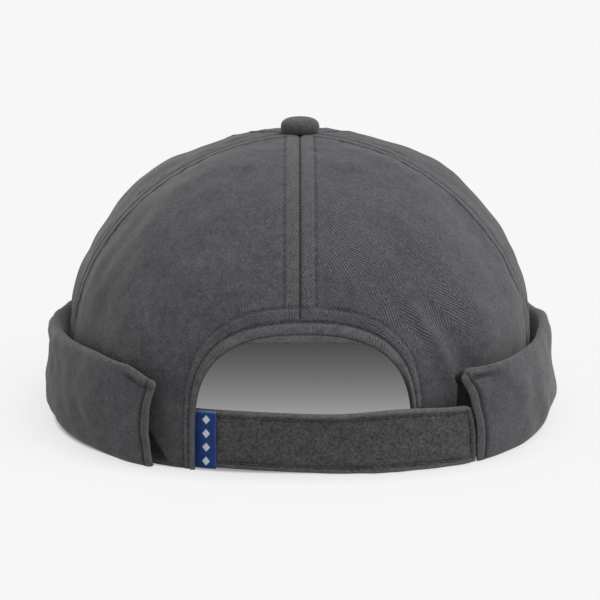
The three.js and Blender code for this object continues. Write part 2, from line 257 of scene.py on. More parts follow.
def on_arch(swing, ring):
    """Turns and rises on one of the nested outlines. Swing 0 is its right foot and pi its left."""
    across = np.cos(swing)
    half = arch_half_width + ring_side_step * ring
    x = axis[0] + arch_shift + half * np.sign(across) * np.abs(across) ** (2 / arch_top_squareness)
    z = (arch_height + ring_top_step * ring) * np.abs(np.sin(swing)) ** (2 / arch_side_squareness)
    turn = turn_at(x, lambda t: rise_at_height(t, z))
    return turn, rise_at_height(turn, z)


arch_foot = on_arch(np.array([0.0, np.pi]), 0)[0]
print("arch feet at turns", arch_foot.round(1))

# %% [markdown]
# Sewing leaves a relief that the eye reads before it reads the weave. At a seam both panels roll
# down into a crack. The seam allowance under the cloth lifts a flat welt on each side, and the row of
# topstitching that holds it down pulls a narrow channel with small puckers. The relief is worked out
# from the distance to the nearest seam and to the arch, and added to the surface as real height.
# Shade settles in the same lines, so their colour is also darkened there, as painted shade, by a mask
# kept on the mesh. A second mask lightens the places that stand proud, as a painted highlight.

# %% Distances to the sewing
topstitch_distance = 5.6 * mm


def degree_length(turn, rise):
    return np.linalg.norm(bare_crown(turn + 0.5, rise) - bare_crown(turn - 0.5, rise), axis=-1)


def seam_distance(turn, rise):
    around = np.mod(turn, 360)
    nearest = np.min([np.abs(around - seam) for seam in seams], axis=0)
    return nearest * degree_length(turn, rise)


def channel(distance, width):
    return -np.exp(-((distance / width) ** 2))


def sewing_lines(turn, rise):
    """Distances to the seam, to its topstitching and to both stitch lines of the arch, and the ring."""
    bare = bare_crown(turn, rise)
    seam = seam_distance(turn, rise)
    ring = np.where(bare[..., 1] < axis[1], arch_ring(bare[..., 0], bare[..., 2]), furthest_ring)
    above_arch = smoothstep(ring, outer_stitch_ring - 0.1, outer_stitch_ring + 0.1)
    beside_seam = np.where(above_arch > 0.5, seam - topstitch_distance, 1)
    low_on_arch = 1 - smoothstep(bare[..., 2], 0.5 * arch_height, 0.95 * arch_height)
    ring_size = lerp(ring_top_step, ring_side_step, low_on_arch)
    return seam, beside_seam, (ring - 1.05) * ring_size, (ring - outer_stitch_ring) * ring_size, ring


# %% [markdown]
# With the distances known, the relief is a sum of small terms, each with a height of its own: the crack
# at the seam, the welts, the channels under the stitches, the puckers beside them, and waves that grow
# away from the seams, where nothing holds the cloth.

# %% The relief of the sewing
crack_depth = 0.7 * mm
crack_width = 0.4 * mm
welt_height = 0.32 * mm
channel_depth = 0.5 * mm
channel_width = 0.42 * mm
pucker_height = 0.14 * mm
wave_height = 0.75 * mm
ripple_height = 0.24 * mm


def relief(turn, rise):
    bare = bare_crown(turn, rise)
    seam, beside_seam, arch_inner, arch_outer, ring = sewing_lines(turn, rise)
    above_arch = smoothstep(ring, outer_stitch_ring - 0.1, outer_stitch_ring + 0.1)
    welt = smoothstep(seam, 0.4 * mm, 1.6 * mm) * (1 - smoothstep(seam, 4.7 * mm, 5.7 * mm))
    band = smoothstep(ring, 1.02, 1.3) * (1 - smoothstep(ring, 1.85, 2.15))
    height = crack_depth * channel(seam, crack_width) + welt_height * (welt * above_arch + band)
    for line in (beside_seam, arch_inner, arch_outer):
        height += channel_depth * channel(line, channel_width)
    nearest = np.minimum(np.abs(beside_seam), np.abs(arch_outer))
    puckers = np.exp(-((nearest / (2.4 * mm)) ** 2))
    height += pucker_height * puckers * soft_waves(bare, 6 * mm, seed=13)
    height += wave_height * soft_waves(bare, 52 * mm, seed=4) * smoothstep(seam, 1 * mm, 18 * mm)
    height += ripple_height * soft_waves(bare, 16 * mm, seed=9) * smoothstep(seam, 2 * mm, 9 * mm)
    return height + hand_folds(turn, rise)


def crease(turn, rise):
    """A mask from 0 to 1 of painted shade in the seam's crack and the stitch channels, darker at each
    stitch.
    """
    seam, beside_seam, arch_inner, arch_outer, _ = sewing_lines(turn, rise)
    holes = 0.6 + 0.4 * np.sin(rise * 150 * mm * 2 * np.pi / (3.1 * mm))
    mask = -channel(seam, 0.3 * mm) * 0.7
    for line in (beside_seam, arch_inner, arch_outer):
        mask = np.maximum(mask, -channel(line, 0.4 * mm) * 0.85 * holes)
    return mask


def worn(turn, rise):
    """A mask of painted highlight on the places that stand proud: the welts and the band's sides."""
    bare = bare_crown(turn, rise)
    seam, _, _, _, ring = sewing_lines(turn, rise)
    welt = smoothstep(seam, 0.6 * mm, 1.6 * mm) * (1 - smoothstep(seam, 4.4 * mm, 5.4 * mm))
    band = smoothstep(ring, 1.1, 1.3) * (1 - smoothstep(ring, 1.95, 2.1))
    at_sides = 1 - smoothstep(bare[..., 2], 0.55 * arch_height, 1.02 * arch_height)
    return np.maximum(0.35 * welt * (ring > outer_stitch_ring), band * at_sides)


# %% [markdown]
# Beside the end of the strap the cloth has been pushed in by hand. A soft ridge comes down from the
# upper left, turns straight down, and behind it the cloth drops away, so that a dark hollow is seen
# between the crown and the end of the cuff. On the other side the rim tucks in under the cuff's end.

# %% The folds made by hand
ridge_height = 1.2 * mm
valley_depth = 1.4 * mm
hollow_depth = 6.5 * mm
tuck_depth = 4 * mm
ridge_rises = [0, 0.2, 0.238, 0.315, 0.388, 0.46]
ridge_turns = [33.3, 33.3, 31.5, 28.5, 25, 21.5]
mm_of_turn = 1.66 * mm


def hand_folds(turn, rise):
    turn = np.mod(turn + 180, 360) - 180
    away = (turn - np.interp(rise, ridge_rises, ridge_turns)) * mm_of_turn
    ridge = np.exp(-((away / (3 * mm)) ** 2)) * (1 - smoothstep(rise, 0.33, 0.47))
    valley = np.exp(-(((away - 7 * mm) / (4.5 * mm)) ** 2)) * (1 - smoothstep(rise, 0.32, 0.45))
    valley *= smoothstep(rise, 0.2, 0.26)
    hollow = smoothstep(away, 0, 1.5 * mm) * (1 - smoothstep(turn, 38.5, 46))
    hollow *= (1 - smoothstep(rise, 0.185, 0.235)) * smoothstep(rise, 0, 0.05)
    into_tuck = (-turn - 25.5) / 4.5 - rise / 0.063
    tuck = smoothstep(into_tuck, 0, 0.6) * (1 - smoothstep(-turn, 34, 40)) * (rise < 0.2)
    tuck *= smoothstep(rise, -0.01, 0.04)
    raised = ridge_height * ridge - valley_depth * valley
    return raised - hollow_depth * hollow - tuck_depth * tuck


def on_crown(turn, rise, offset=0.0):
    lift = swelling(turn, rise) + offset
    return bare_crown(turn, rise) + crown_normal(turn, rise) * np.expand_dims(lift, -1)


def beside_crown(turn, height, out):
    """Points at a height, and level and straight out from the crown by a distance."""
    points = on_crown(turn, rise_at_height(turn, height))
    points[..., 2] = height
    sideways = crown_normal(turn, np.zeros_like(turn))
    sideways[..., 2] = 0
    return points + sideways * np.expand_dims(out, -1)


# %% [markdown]
# Cloth is thin but not flat, so each piece is a closed shell: an outer face, an inner face a cloth's
# thickness behind it, and walls round every free edge. One helper builds such a shell from two grids
# of points. It also stores a map called thread, which says in metres how far each point is across and
# along the cloth it was cut from. The weave follows this map, so it turns with each panel as it does
# on the real cap.

# %% Helpers that build meshes
piece_slots = {}


def make_piece(name, points, faces, thread, slot, nodes=(), **masks):
    mesh = bpy.data.meshes.new(name)
    mesh.from_pydata(points.tolist(), [], faces if isinstance(faces, list) else faces.tolist())
    shape = bmesh.new()
    shape.from_mesh(mesh)
    if shape.calc_volume(signed=True) < 0:
        bmesh.ops.reverse_faces(shape, faces=shape.faces)
    shape.to_mesh(mesh)
    shape.free()
    mesh.validate()
    layer = mesh.uv_layers.new(name="thread")
    corners = np.empty(len(mesh.loops), dtype=np.int32)
    mesh.loops.foreach_get("vertex_index", corners)
    layer.uv.foreach_set("vector", thread[corners].astype(np.float32).ravel())
    for title, values in masks.items():
        mask = mesh.attributes.new(title, "FLOAT", "POINT")
        mask.data.foreach_set("value", values.astype(np.float32))
    mesh.shade_smooth()
    piece = bpy.data.objects.new(name, mesh)
    bpy.context.scene.collection.objects.link(piece)
    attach(piece, "root")
    if nodes:
        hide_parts(*nodes)
    piece_slots[name] = slot
    size = (points.max(axis=0) - points.min(axis=0)) / mm
    print(name, len(faces), "faces", size.round(1), "mm")
    return piece


def grid_faces(columns, rows, closed=False):
    """Quads over a grid of points, stored column by column."""
    index = np.arange(columns * rows).reshape(columns, rows)
    if closed:
        index = np.concatenate([index, index[:, :1]], axis=1)
    corners = [index[:-1, :-1], index[1:, :-1], index[1:, 1:], index[:-1, 1:]]
    return np.stack([corner.ravel() for corner in corners], axis=1)


def close_shell(outer, inner, faces):
    """Joins an outer and an inner face by walls along every free edge."""
    count = len(outer)
    starts = faces.ravel()
    ends = np.roll(faces, -1, axis=1).ravel()
    paired = set(zip(ends.tolist(), starts.tolist()))
    free = [(a, b) for a, b in zip(starts.tolist(), ends.tolist()) if (a, b) not in paired]
    walls = np.array([(b, a, a + count, b + count) for a, b in free])
    points = np.concatenate([outer, inner])
    return points, np.concatenate([faces, faces[:, ::-1] + count, walls])


def drop_unused(points, faces, thread):
    used = np.unique(faces)
    place = np.full(len(points), -1)
    place[used] = np.arange(len(used))
    return points[used], place[faces], thread[used]


# %% [markdown]
# A panel is a tall triangle with curved sides, called a gore. Its grid is dense beside the seams and
# round the arch, where the relief is fine, and wider in the middle. The distances of the first points
# from a seam are fixed, so that they fall on the crack, the welt and the channel.

# %% A grid for each panel
crown_cloth = 1.8 * mm
edge_distances = np.array([0.15, 0.35, 0.6, 0.95, 1.4, 2.2, 3.2, 4.2, 4.8, 5.2, 5.6, 6, 6.4, 7, 8]) * mm
tip_radius = 2.6 * mm
tip_rise = wall_share + (1 - wall_share) * np.arccos(tip_radius / crown_half_width) / (np.pi / 2)
fine_step = 0.55 * mm
coarse_step = 1.3 * mm
gore_width = 100 * mm
arch_zone = 66 * mm  # how far up and across from the middle of the back the grid is dense


def spaced(start, end, dense_from, dense_to):
    """Places from start to end that are close together between the two dense places."""
    places = [start]
    while places[-1] < end:
        dense = dense_from <= places[-1] <= dense_to
        places.append(places[-1] + (fine_step if dense else coarse_step))
    return np.array(places) * end / places[-1]


def panel_grid(start, end, rises, middle_shares):
    """Turns and rises of the points of a gore: fixed distances beside the seams, shares between."""
    left = degree_length(np.full(rises.shape, float(start)), rises)
    right = degree_length(np.full(rises.shape, float(end)), rises)
    width = (end - start) * (left + right) / 2
    squeeze = np.minimum(1, width / (3 * edge_distances[-1]))
    near = edge_distances[:, None] * squeeze
    first = start + near / left
    last = end - near[::-1] / right
    middle = lerp(first[-1], last[0], middle_shares[1:-1, None])
    turns = np.concatenate([first, middle, last])
    return turns, np.broadcast_to(rises, turns.shape).copy()


# %% [markdown]
# Where the arch cuts through the two back panels, the faces inside it are dropped and the last points
# are slid along the grid lines onto the outline, which leaves a clean curve without a boolean cut.

# %% Slide the grid onto the arch
def slide_onto_arch(turns, rises):
    """Moves the points just inside the arch onto its outline. Returns which points are kept."""
    def ring_at(turn, rise):
        bare = bare_crown(turn, rise)
        ring = arch_ring(bare[..., 0], bare[..., 2])
        return np.where(bare[..., 1] < axis[1], ring, furthest_ring)

    outside = ring_at(turns, rises) >= panel_edge_ring
    kept = outside.copy()
    old_turns, old_rises = turns.copy(), rises.copy()
    for step in [(0, 1), (1, 0), (-1, 0), (1, 1), (-1, 1)]:
        here = np.where(~kept)
        neighbour = tuple(here[k] + step[k] for k in range(2))
        inside_grid = (neighbour[0] >= 0) & (neighbour[0] < turns.shape[0])
        inside_grid &= neighbour[1] < turns.shape[1]
        here = tuple(h[inside_grid] for h in here)
        neighbour = tuple(n[inside_grid] for n in neighbour)
        reaches = outside[neighbour]
        here = tuple(h[reaches] for h in here)
        neighbour = tuple(n[reaches] for n in neighbour)
        low, high = np.zeros(len(here[0])), np.ones(len(here[0]))
        for _ in range(20):
            share = (low + high) / 2
            turn = lerp(old_turns[here], old_turns[neighbour], share)
            rise = lerp(old_rises[here], old_rises[neighbour], share)
            past = ring_at(turn, rise) >= panel_edge_ring
            high = np.where(past, share, high)
            low = np.where(past, low, share)
        turns[here] = lerp(old_turns[here], old_turns[neighbour], high)
        rises[here] = lerp(old_rises[here], old_rises[neighbour], high)
        kept[here] = True
    return outside, kept


# %% [markdown]
# Now the panels can be cut and sewn. The two back panels were cut slanting to the grain, so their
# columns of weave run diagonally, and a mask called ribs says how clearly each place shows them. The
# inner face follows the large folds only, and carries none of the masks.

# %% Cut and sew the five panels
grain_turns = {"crown_panel_back_right": 30, "crown_panel_back_left": -12}  # degrees off the middle


def ribs_seen(turn, rise):
    """How far the ribs show through the nap: most on the right of the back, hardly on the left."""
    around = np.mod(turn + 180, 360) - 180
    right = smoothstep(around, -0.5, 1) * (1 - smoothstep(around, 40, 62))
    left = smoothstep(-around, 0, 2) * (1 - smoothstep(-around, 14, 24)) * 0.4
    seen = np.maximum(right, left) * smoothstep(rise, 0.24, 0.36) * (1 - smoothstep(rise, 0.62, 0.8))
    return np.maximum(seen, 0.12)


def sew_panel(name, start, end):
    middle = (start + end) / 2
    line_rises = np.linspace(0, tip_rise, 400)
    line = bare_crown(np.full(line_rises.shape, middle), line_rises)
    steps = np.linalg.norm(np.diff(line, axis=0), axis=1)
    line_lengths = np.concatenate([[0], np.cumsum(steps)])
    meets_arch = start == 0 or end == 360
    rows_dense = (0, arch_zone) if meets_arch else (1, 0)
    shares_dense = (16 * mm, arch_zone) if meets_arch else (1, 0)
    lengths = spaced(0, line_lengths[-1], *rows_dense)
    rises = np.interp(lengths, line_lengths, line_rises)
    shares = spaced(0, gore_width, *shares_dense) / gore_width
    if end == 360:
        shares = 1 - shares[::-1]
    turns, rises = panel_grid(start, end, rises, shares)
    faces = grid_faces(*turns.shape)
    if meets_arch:
        outside, kept = slide_onto_arch(turns, rises)
        faces = faces[kept.ravel()[faces].all(axis=1) & outside.ravel()[faces].any(axis=1)]
    across = (turns - middle) * degree_length(np.full(turns.shape, float(middle)), rises)
    along = np.interp(rises, line_rises, line_lengths)
    grain = np.radians(grain_turns.get(name, 0))
    thread_x = across * np.cos(grain) + along * np.sin(grain)
    thread_y = along * np.cos(grain) - across * np.sin(grain)
    thread = np.stack([thread_x, thread_y], axis=-1).reshape(-1, 2)
    outer = on_crown(turns, rises, relief(turns, rises)).reshape(-1, 3)
    inner = on_crown(turns, rises, hand_folds(turns, rises) - crown_cloth).reshape(-1, 3)
    points, faces = close_shell(outer, inner, faces)
    masks = np.stack([crease(turns, rises), ribs_seen(turns, rises), worn(turns, rises)], axis=-1)
    maps = np.concatenate([thread, masks.reshape(-1, 3)], axis=1)
    plain = np.concatenate([thread, np.zeros((len(thread), 3))], axis=1)
    points, faces, maps = drop_unused(points, faces, np.concatenate([maps, plain]))
    make_piece(f"sewn_{name}", points, faces, maps[:, :2], "crown_twill", [name],
               crease=maps[:, 2], ribs=maps[:, 3], worn=maps[:, 4])


panel_names = ["back_right", "side_right", "front", "side_left", "back_left"]
for panel_name, panel_start, panel_end in zip(panel_names, seams, seams[1:]):
    sew_panel(f"crown_panel_{panel_name}", panel_start, panel_end)

# %% [markdown]
# Inside, a narrow tape is sewn over each seam, as in most caps. It keeps the raw edges off the wearer's
# hair, and here it also keeps light from showing through the seams.

# %% Tape the seams inside
tape_width = 13 * mm
tape_thickness = 0.4 * mm
tape_behind = crown_cloth + 0.15 * mm
widest_turn = 30
tape_points, tape_faces, tape_thread = [], [], []
for seam in seams[:-1]:
    lowest = rise_at_height(np.array(0.0), arch_height + 6 * mm) if seam == 0 else 0.03
    tape_rises = np.linspace(lowest, tip_rise, 110)
    tape_across = np.linspace(-tape_width / 2, tape_width / 2, 9)[:, None]
    along_seam = degree_length(np.full(tape_rises.shape, float(seam)), tape_rises)
    tape_turns = seam + np.clip(tape_across / along_seam, -widest_turn, widest_turn)
    tape_grid = np.broadcast_to(tape_rises, tape_turns.shape)
    folded_in = hand_folds(tape_turns, tape_grid) - tape_behind
    near_side = on_crown(tape_turns, tape_grid, folded_in).reshape(-1, 3)
    far_side = on_crown(tape_turns, tape_grid, folded_in - tape_thickness).reshape(-1, 3)
    points, faces = close_shell(near_side, far_side, grid_faces(*tape_turns.shape))
    tape_faces += (faces + sum(len(part) for part in tape_points)).tolist()
    tape_points.append(points)
    flat = np.stack(np.broadcast_arrays(tape_across, tape_rises * 0.15), axis=-1).reshape(-1, 2)
    tape_thread += [flat, flat]
make_piece("seam_tape", np.concatenate(tape_points), tape_faces, np.concatenate(tape_thread),
           "crown_twill")

# %% [markdown]
# The raw edge of the arch is folded under and sewn down, which makes a narrow roll all the way round
# the opening. It is a strip of its own here: one cross-section, carried along the outline from foot
# to foot, so that the light runs along it in one unbroken line. Its thickness goes straight back
# through the opening, and not square to the slanting cloth, so that the opening keeps its size.

# %% Roll the edge of the arch
binding_section = [  # ring, and height over the cloth in millimetres
    (1.0, -0.35), (0.97, 0.1), (0.88, 0.42), (0.7, 0.6), (0.45, 0.62), (0.25, 0.5), (0.1, 0.15),
    (0.02, -0.4), (0.0, -1.0), (0.03, -1.6), (0.15, -2.1), (0.5, -2.3), (0.9, -2.2), (1.0, -1.9),
]
arch_steps = 150
edge_unevenness = 0.12 * mm


def close_tube_ends(faces, columns, rows):
    """Caps both ends of a tube whose cross-sections are stored column by column."""
    first = [tuple(range(rows))[::-1]]
    last = [tuple((columns - 1) * rows + row for row in range(rows))]
    return faces.tolist() + first + last


swings = np.linspace(0, np.pi, arch_steps)
rings = np.array([ring for ring, _ in binding_section])
heights = np.array([height for _, height in binding_section]) * mm
swing_grid, ring_grid = np.meshgrid(swings, rings, indexing="ij")
edge_turns, edge_rises = on_arch(swing_grid, ring_grid)
edge_heights = np.broadcast_to(heights, edge_turns.shape).copy()
edge_heights += edge_unevenness * soft_waves(bare_crown(edge_turns, edge_rises), 9 * mm, seed=21)
edge_points = on_crown(edge_turns, edge_rises)
edge_points[..., 1] += edge_heights / crown_normal(edge_turns, edge_rises)[..., 1]
edge_walk = np.cumsum(np.linalg.norm(np.diff(edge_points[:, 4], axis=0, prepend=0), axis=1))
edge_along = edge_walk[:, None] - rings * 3 * mm
edge_thread = np.stack(np.broadcast_arrays(edge_along, rings * ring_top_step), axis=-1)
edge_faces = close_tube_ends(grid_faces(*edge_turns.shape, closed=True), *edge_turns.shape)
# Painted shade on the rolled edge: along its stitch line, on the turned edge that falls into the
# opening, and on the inner side of the right foot, which faces away from the light.
foot_shadow = (1 - smoothstep(swing_grid, 0.4, 0.6)) * (1 - smoothstep(ring_grid, 0.45, 0.7))
turned_edge_shade = 0.8 * (1 - smoothstep(ring_grid, 0.08, 0.28))
stitch_line_shade = smoothstep(ring_grid, 0.93, 1.0)
edge_creases = np.max([stitch_line_shade, foot_shadow, turned_edge_shade], axis=0).ravel()
make_piece("rolled_arch_edge", edge_points.reshape(-1, 3), edge_faces, edge_thread.reshape(-1, 2),
           "binding_twill", ["arch_binding"], crease=edge_creases)

# %% [markdown]
# The cuff is the lower edge of the cap turned up on itself. Seen in section it rises from the rim,
# leans out a little, rolls over at the top and comes back down beside the crown. The section is a
# curve through a few points, and its height and fullness change on the way round, because a hand has
# turned it up. Near its two ends it leans in and its hem is folded double.

# %% The section of the cuff
cuff_height = 34 * mm
cuff_stand = 8.8 * mm
cuff_cloth = 2 * mm
cuff_clearance = 0.4 * mm
cuff_right_end = 37.5
cuff_left_end = -29.6
cuff_fold = [
    (0.45, 0), (0.72, 0.02), (0.9, 0.09), (0.985, 0.22), (1, 0.4), (0.96, 0.62), (0.88, 0.82),
    (0.78, 0.95), (0.62, 1), (0.46, 0.97), (0.37, 0.86), (0.24, 0.6), (0.1, 0.3), (0, 0.05),
]
cuff_course = [  # place from the right end to the left, share of height, share of stand, lift in mm
    (0, 0.94, 0.68, 0.24), (0.01, 1.03, 0.74, 0.2), (0.05, 1.05, 1, 0.04), (0.08, 1.06, 1.05, 0),
    (0.13, 1.08, 1.03, 0), (0.18, 1.04, 1, 0), (0.25, 0.95, 1, 0), (0.36, 0.95, 0.96, 0),
    (0.49, 1, 1, 0), (0.61, 0.94, 0.97, 0), (0.72, 0.95, 1, 0), (0.79, 1.04, 1, 0),
    (0.85, 1.08, 1, 0), (0.9, 1.1, 0.93, 0), (0.945, 1.11, 0.84, 0.02), (0.975, 1.07, 0.75, 0.08),
    (1, 0.94, 0.7, 0.15),
]
hem_width = 3 * mm


def read_table(rows, column, at):
    places = np.array([row[0] for row in rows])
    values = np.array([row[column] for row in rows])
    after = np.clip(np.searchsorted(places, at), 1, len(places) - 1)
    share = smoothstep(at, places[after - 1], places[after])
    return lerp(values[after - 1], values[after], share)


def through(points, count):
    """A smooth curve through the points, cut into equal steps."""
    points = np.array(points, dtype=float)
    ends = [2 * points[0] - points[1]], [2 * points[-1] - points[-2]]
    padded = np.concatenate([ends[0], points, ends[1]])
    pieces = []
    for a, b, c, d in zip(padded, padded[1:], padded[2:], padded[3:]):
        t = np.linspace(0, 1, 24, endpoint=False)[:, None]
        pieces.append(0.5 * (2 * b + (c - a) * t + (2 * a - 5 * b + 4 * c - d) * t**2
                             + (3 * b - a - 3 * c + d) * t**3))
    curve = np.concatenate(pieces + [points[-1:]])
    walk = np.concatenate([[0], np.cumsum(np.linalg.norm(np.diff(curve, axis=0), axis=1))])
    steps = np.linspace(0, walk[-1], count)
    return np.stack([np.interp(steps, walk, curve[:, k]) for k in range(points.shape[1])], axis=-1)


def cuff_right_turn(up):
    return cuff_right_end - 6.1 * np.minimum(up / cuff_height, 1) ** 3


def cuff_left_turn(up):
    share = np.clip(up / cuff_height, 0, 1)
    return cuff_left_end + 1.3 * share - 1.3 * np.sin(np.pi * share)


# %% [markdown]
# What makes the cuff look handled is added on top of that section: a stitched hem and its groove at
# both ends, a pinched crease at each top corner, and wrinkles. The ends also lean, as the hand left
# them, and their underside is pulled back, so that no sharp corner shows below.

# %% The details of the cuff
cuff_columns = np.unique(np.concatenate([
    np.linspace(0, 0.02, 26), np.linspace(0.02, 0.08, 40), np.linspace(0.08, 0.92, 330),
    np.linspace(0.92, 0.98, 40), np.linspace(0.98, 1, 26),
]))
cuff_rows = 76
fold_curve = through(cuff_fold, cuff_rows)
cuff_sweep = 360 + cuff_left_end - cuff_right_end
cuff_degree = 1.9 * mm  # the length of one degree along the cuff
cuff_end_round = 0.8 * mm
hem_puff = 0.45 * mm
hem_groove = 1.1 * mm
cuff_wrinkle = 0.5 * mm
cuff_ripple = 0.2 * mm


def cuff_surface(from_end, up, height, turn):
    """Hem, groove, wrinkles and pinch over the plain outer face, and a mask of painted shade in the
    groove and the pinch.
    """
    outward = smoothstep(fold_curve[:, 0], 0.5, 0.9)
    hem = hem_puff * smoothstep(-from_end, -hem_width - 0.6 * mm, -hem_width + 0.6 * mm)
    groove_line = from_end - hem_width - 0.2 * mm
    groove = hem_groove * channel(groove_line, 0.5 * mm)
    below_top = height - up
    pinch_reach = np.exp(-(((from_end - 6.5 * mm) / (5 * mm)) ** 2))
    pinch_line = -channel(below_top - 3.4 * mm, 0.65 * mm) * pinch_reach
    pinch_roll = -channel(below_top - 1.6 * mm, 1.1 * mm) * pinch_reach
    pinch = mm * (0.8 * pinch_roll - 1.4 * pinch_line) * (fold_curve[:, 0] > 0.7)
    place = np.stack(np.broadcast_arrays(turn * cuff_degree, up, 0 * turn), axis=-1)
    wrinkle = cuff_wrinkle * soft_waves(place * [0.45, 1.1, 1], 24 * mm, seed=31)
    ripple = cuff_ripple * soft_waves(place, 11 * mm, seed=37)
    # Painted shade: the hem's groove and the pinch line are darkened in the colour.
    dark = np.maximum(-channel(groove_line, 0.5 * mm) * 0.9 * outward, pinch_line * 0.95)
    return (hem + groove + wrinkle + ripple) * outward + pinch, dark


def cuff_end_shift(at, up, from_end, side):
    """Degrees by which the hand has leaned the two ends, and by which each layer overlaps the next."""
    climb = np.clip(up / cuff_height, 0, 1)
    near_right = (cuff_right_turn(up) - cuff_right_end) * (1 - smoothstep(at, 0, 0.15))
    near_left = (cuff_left_turn(up) - cuff_left_end) * smoothstep(at, 0.9, 1)
    near_right -= 1.15 * (1 - smoothstep(climb, 0.58, 0.92)) * (1 - smoothstep(at, 0, 0.03))
    near_left += (0.3 + 0.4 * (1 - smoothstep(climb, 0.15, 0.65))) * smoothstep(at, 0.97, 1)
    pulled_back = 3 * (1 - smoothstep(fold_curve[:, 0], 0.15, 0.75))
    pulled_back += 2 * (1 - smoothstep(np.linspace(0, 1, cuff_rows), 0.02, 0.12))
    overlap = lerp(0.5 * side - pulled_back, 0, smoothstep(from_end, 0, 7 * mm))
    return near_right + near_left + overlap * np.where(at < 0.5, -1, 1)


# %% [markdown]
# The loft goes right round the head from one end to the other. Each section is offset to both sides
# of its centre line to give the cloth its thickness, and the outer side also carries the details. At
# the right end, where the strap meets it, the lowest part of the section is drawn down to the floor.

# %% Turn up the cuff
def cuff_side(side):
    """One side of the cuff's cloth: +1 outer, -1 inner. Returns points, the thread map and the mask of
    painted shade.
    """
    at = cuff_columns[:, None]
    turn = cuff_right_end + cuff_sweep * at
    rim = rim_height(turn) * smoothstep(at, 0, 0.12)
    height = cuff_height * read_table(cuff_course, 1, cuff_columns)[:, None]
    stand = cuff_stand * read_table(cuff_course, 2, cuff_columns)[:, None]
    lift = mm * read_table(cuff_course, 3, cuff_columns)[:, None]
    out = lerp(cuff_clearance + cuff_cloth / 2, stand - cuff_cloth / 2, fold_curve[:, 0]) + lift
    up = lerp(rim + cuff_cloth / 2, height - cuff_cloth / 2, fold_curve[:, 1])
    centre = np.stack([out, up], axis=-1)
    ahead = unit(np.gradient(centre, axis=1))
    normal = np.stack([ahead[..., 1], -ahead[..., 0]], axis=-1)
    from_end = np.minimum(at, 1 - at) * cuff_sweep * cuff_degree
    tip = np.sqrt(np.clip(1 - (1 - from_end / cuff_end_round) ** 2, 0.1, 1))
    tip = np.where(from_end > cuff_end_round, 1, tip)
    surface, dark = cuff_surface(from_end, up, height, turn)
    surface = surface if side > 0 else 0 * up
    section = centre + normal * ((side * cuff_cloth / 2 * tip) + surface)[..., None]
    low_part = 1 - smoothstep(section[..., 1] / height, 0.05, 0.35)
    section[..., 1] *= 1 - 0.6 * low_part * (1 - smoothstep(at, 0, 0.025))
    section[..., 1] = np.maximum(section[..., 1], rim)
    out, up = section[..., 0], section[..., 1]
    points = beside_crown(turn + cuff_end_shift(at, up, from_end, side), up, out)
    walk = np.cumsum(np.linalg.norm(np.diff(centre, axis=1, prepend=centre[:, :1]), axis=-1), axis=1)
    around = np.broadcast_to(at * cuff_sweep * cuff_degree, walk.shape)
    return points, np.stack([around, walk], axis=-1), np.broadcast_to(dark, walk.shape)


cuff_outer, cuff_thread, cuff_creases = cuff_side(1)
cuff_inner, _, _ = cuff_side(-1)
cuff_faces = grid_faces(*cuff_outer.shape[:2])
cuff_points, cuff_faces = close_shell(cuff_outer.reshape(-1, 3), cuff_inner.reshape(-1, 3), cuff_faces)
cuff_thread = cuff_thread.reshape(-1, 2)
cuff_creases = np.concatenate([cuff_creases.ravel(), np.zeros(cuff_creases.size)])
make_piece("turned_up_cuff", cuff_points, cuff_faces, np.concatenate([cuff_thread, cuff_thread]),
           "cuff_twill", ["cuff"], crease=cuff_creases)

# %% [markdown]
# The strap comes out of the cap at the left edge of the opening and lies over the right one, where it
# widens a little and stands off the cloth. Two small functions say how far out of the crown it lies at
# each turn, and how high a row of it is.

# %% The course of the strap
strap_height = 21 * mm
strap_thickness = 2.4 * mm
strap_lift = 0.15 * mm
strap_clearance = 0.4 * mm
strap_hidden_turn = -30
strap_corners = (0.8 * mm, 2 * mm)  # the lower and the upper one
strap_end_gap = 2.4 * mm
strap_swell = 0.07  # of its height, where it crosses the edge of the opening
strap_edge_round = 0.9 * mm
border_width = 2.2 * mm
binding_proud = 0.5 * mm
tag_thickness = 0.7 * mm
left_foot, right_foot = arch_foot[1], arch_foot[0]


def strap_out(turn):
    behind = -crown_cloth - binding_proud - 2 * strap_clearance - tag_thickness - strap_thickness
    over = binding_proud + strap_clearance + 1.5 * mm * smoothstep(turn, right_foot, right_foot + 9)
    return lerp(behind, over, smoothstep(turn, left_foot + 3, right_foot - 2))


def strap_up(turn, row):
    return strap_lift + row * (1 + strap_swell * np.exp(-(((turn - 19) / 9) ** 2)))


# %% [markdown]
# The strap is two layers of brushed loop cloth sewn together round the edge, so it has a slightly
# raised border, a stitched groove and a softer middle. It is a grid from top to bottom and from end to
# end, close near the edges, with the right end slanting like the cuff's and drawn in round its corners.

# %% Lay the strap across the opening
def edge_spacing(length, edge, middle_step):
    """Places across a length, close together within the edge distance of both ends."""
    near = np.linspace(0, edge, 16)
    middle = np.linspace(edge, length - edge, int((length - 2 * edge) / middle_step) + 2)[1:-1]
    return np.concatenate([near, middle, length - near[::-1]])


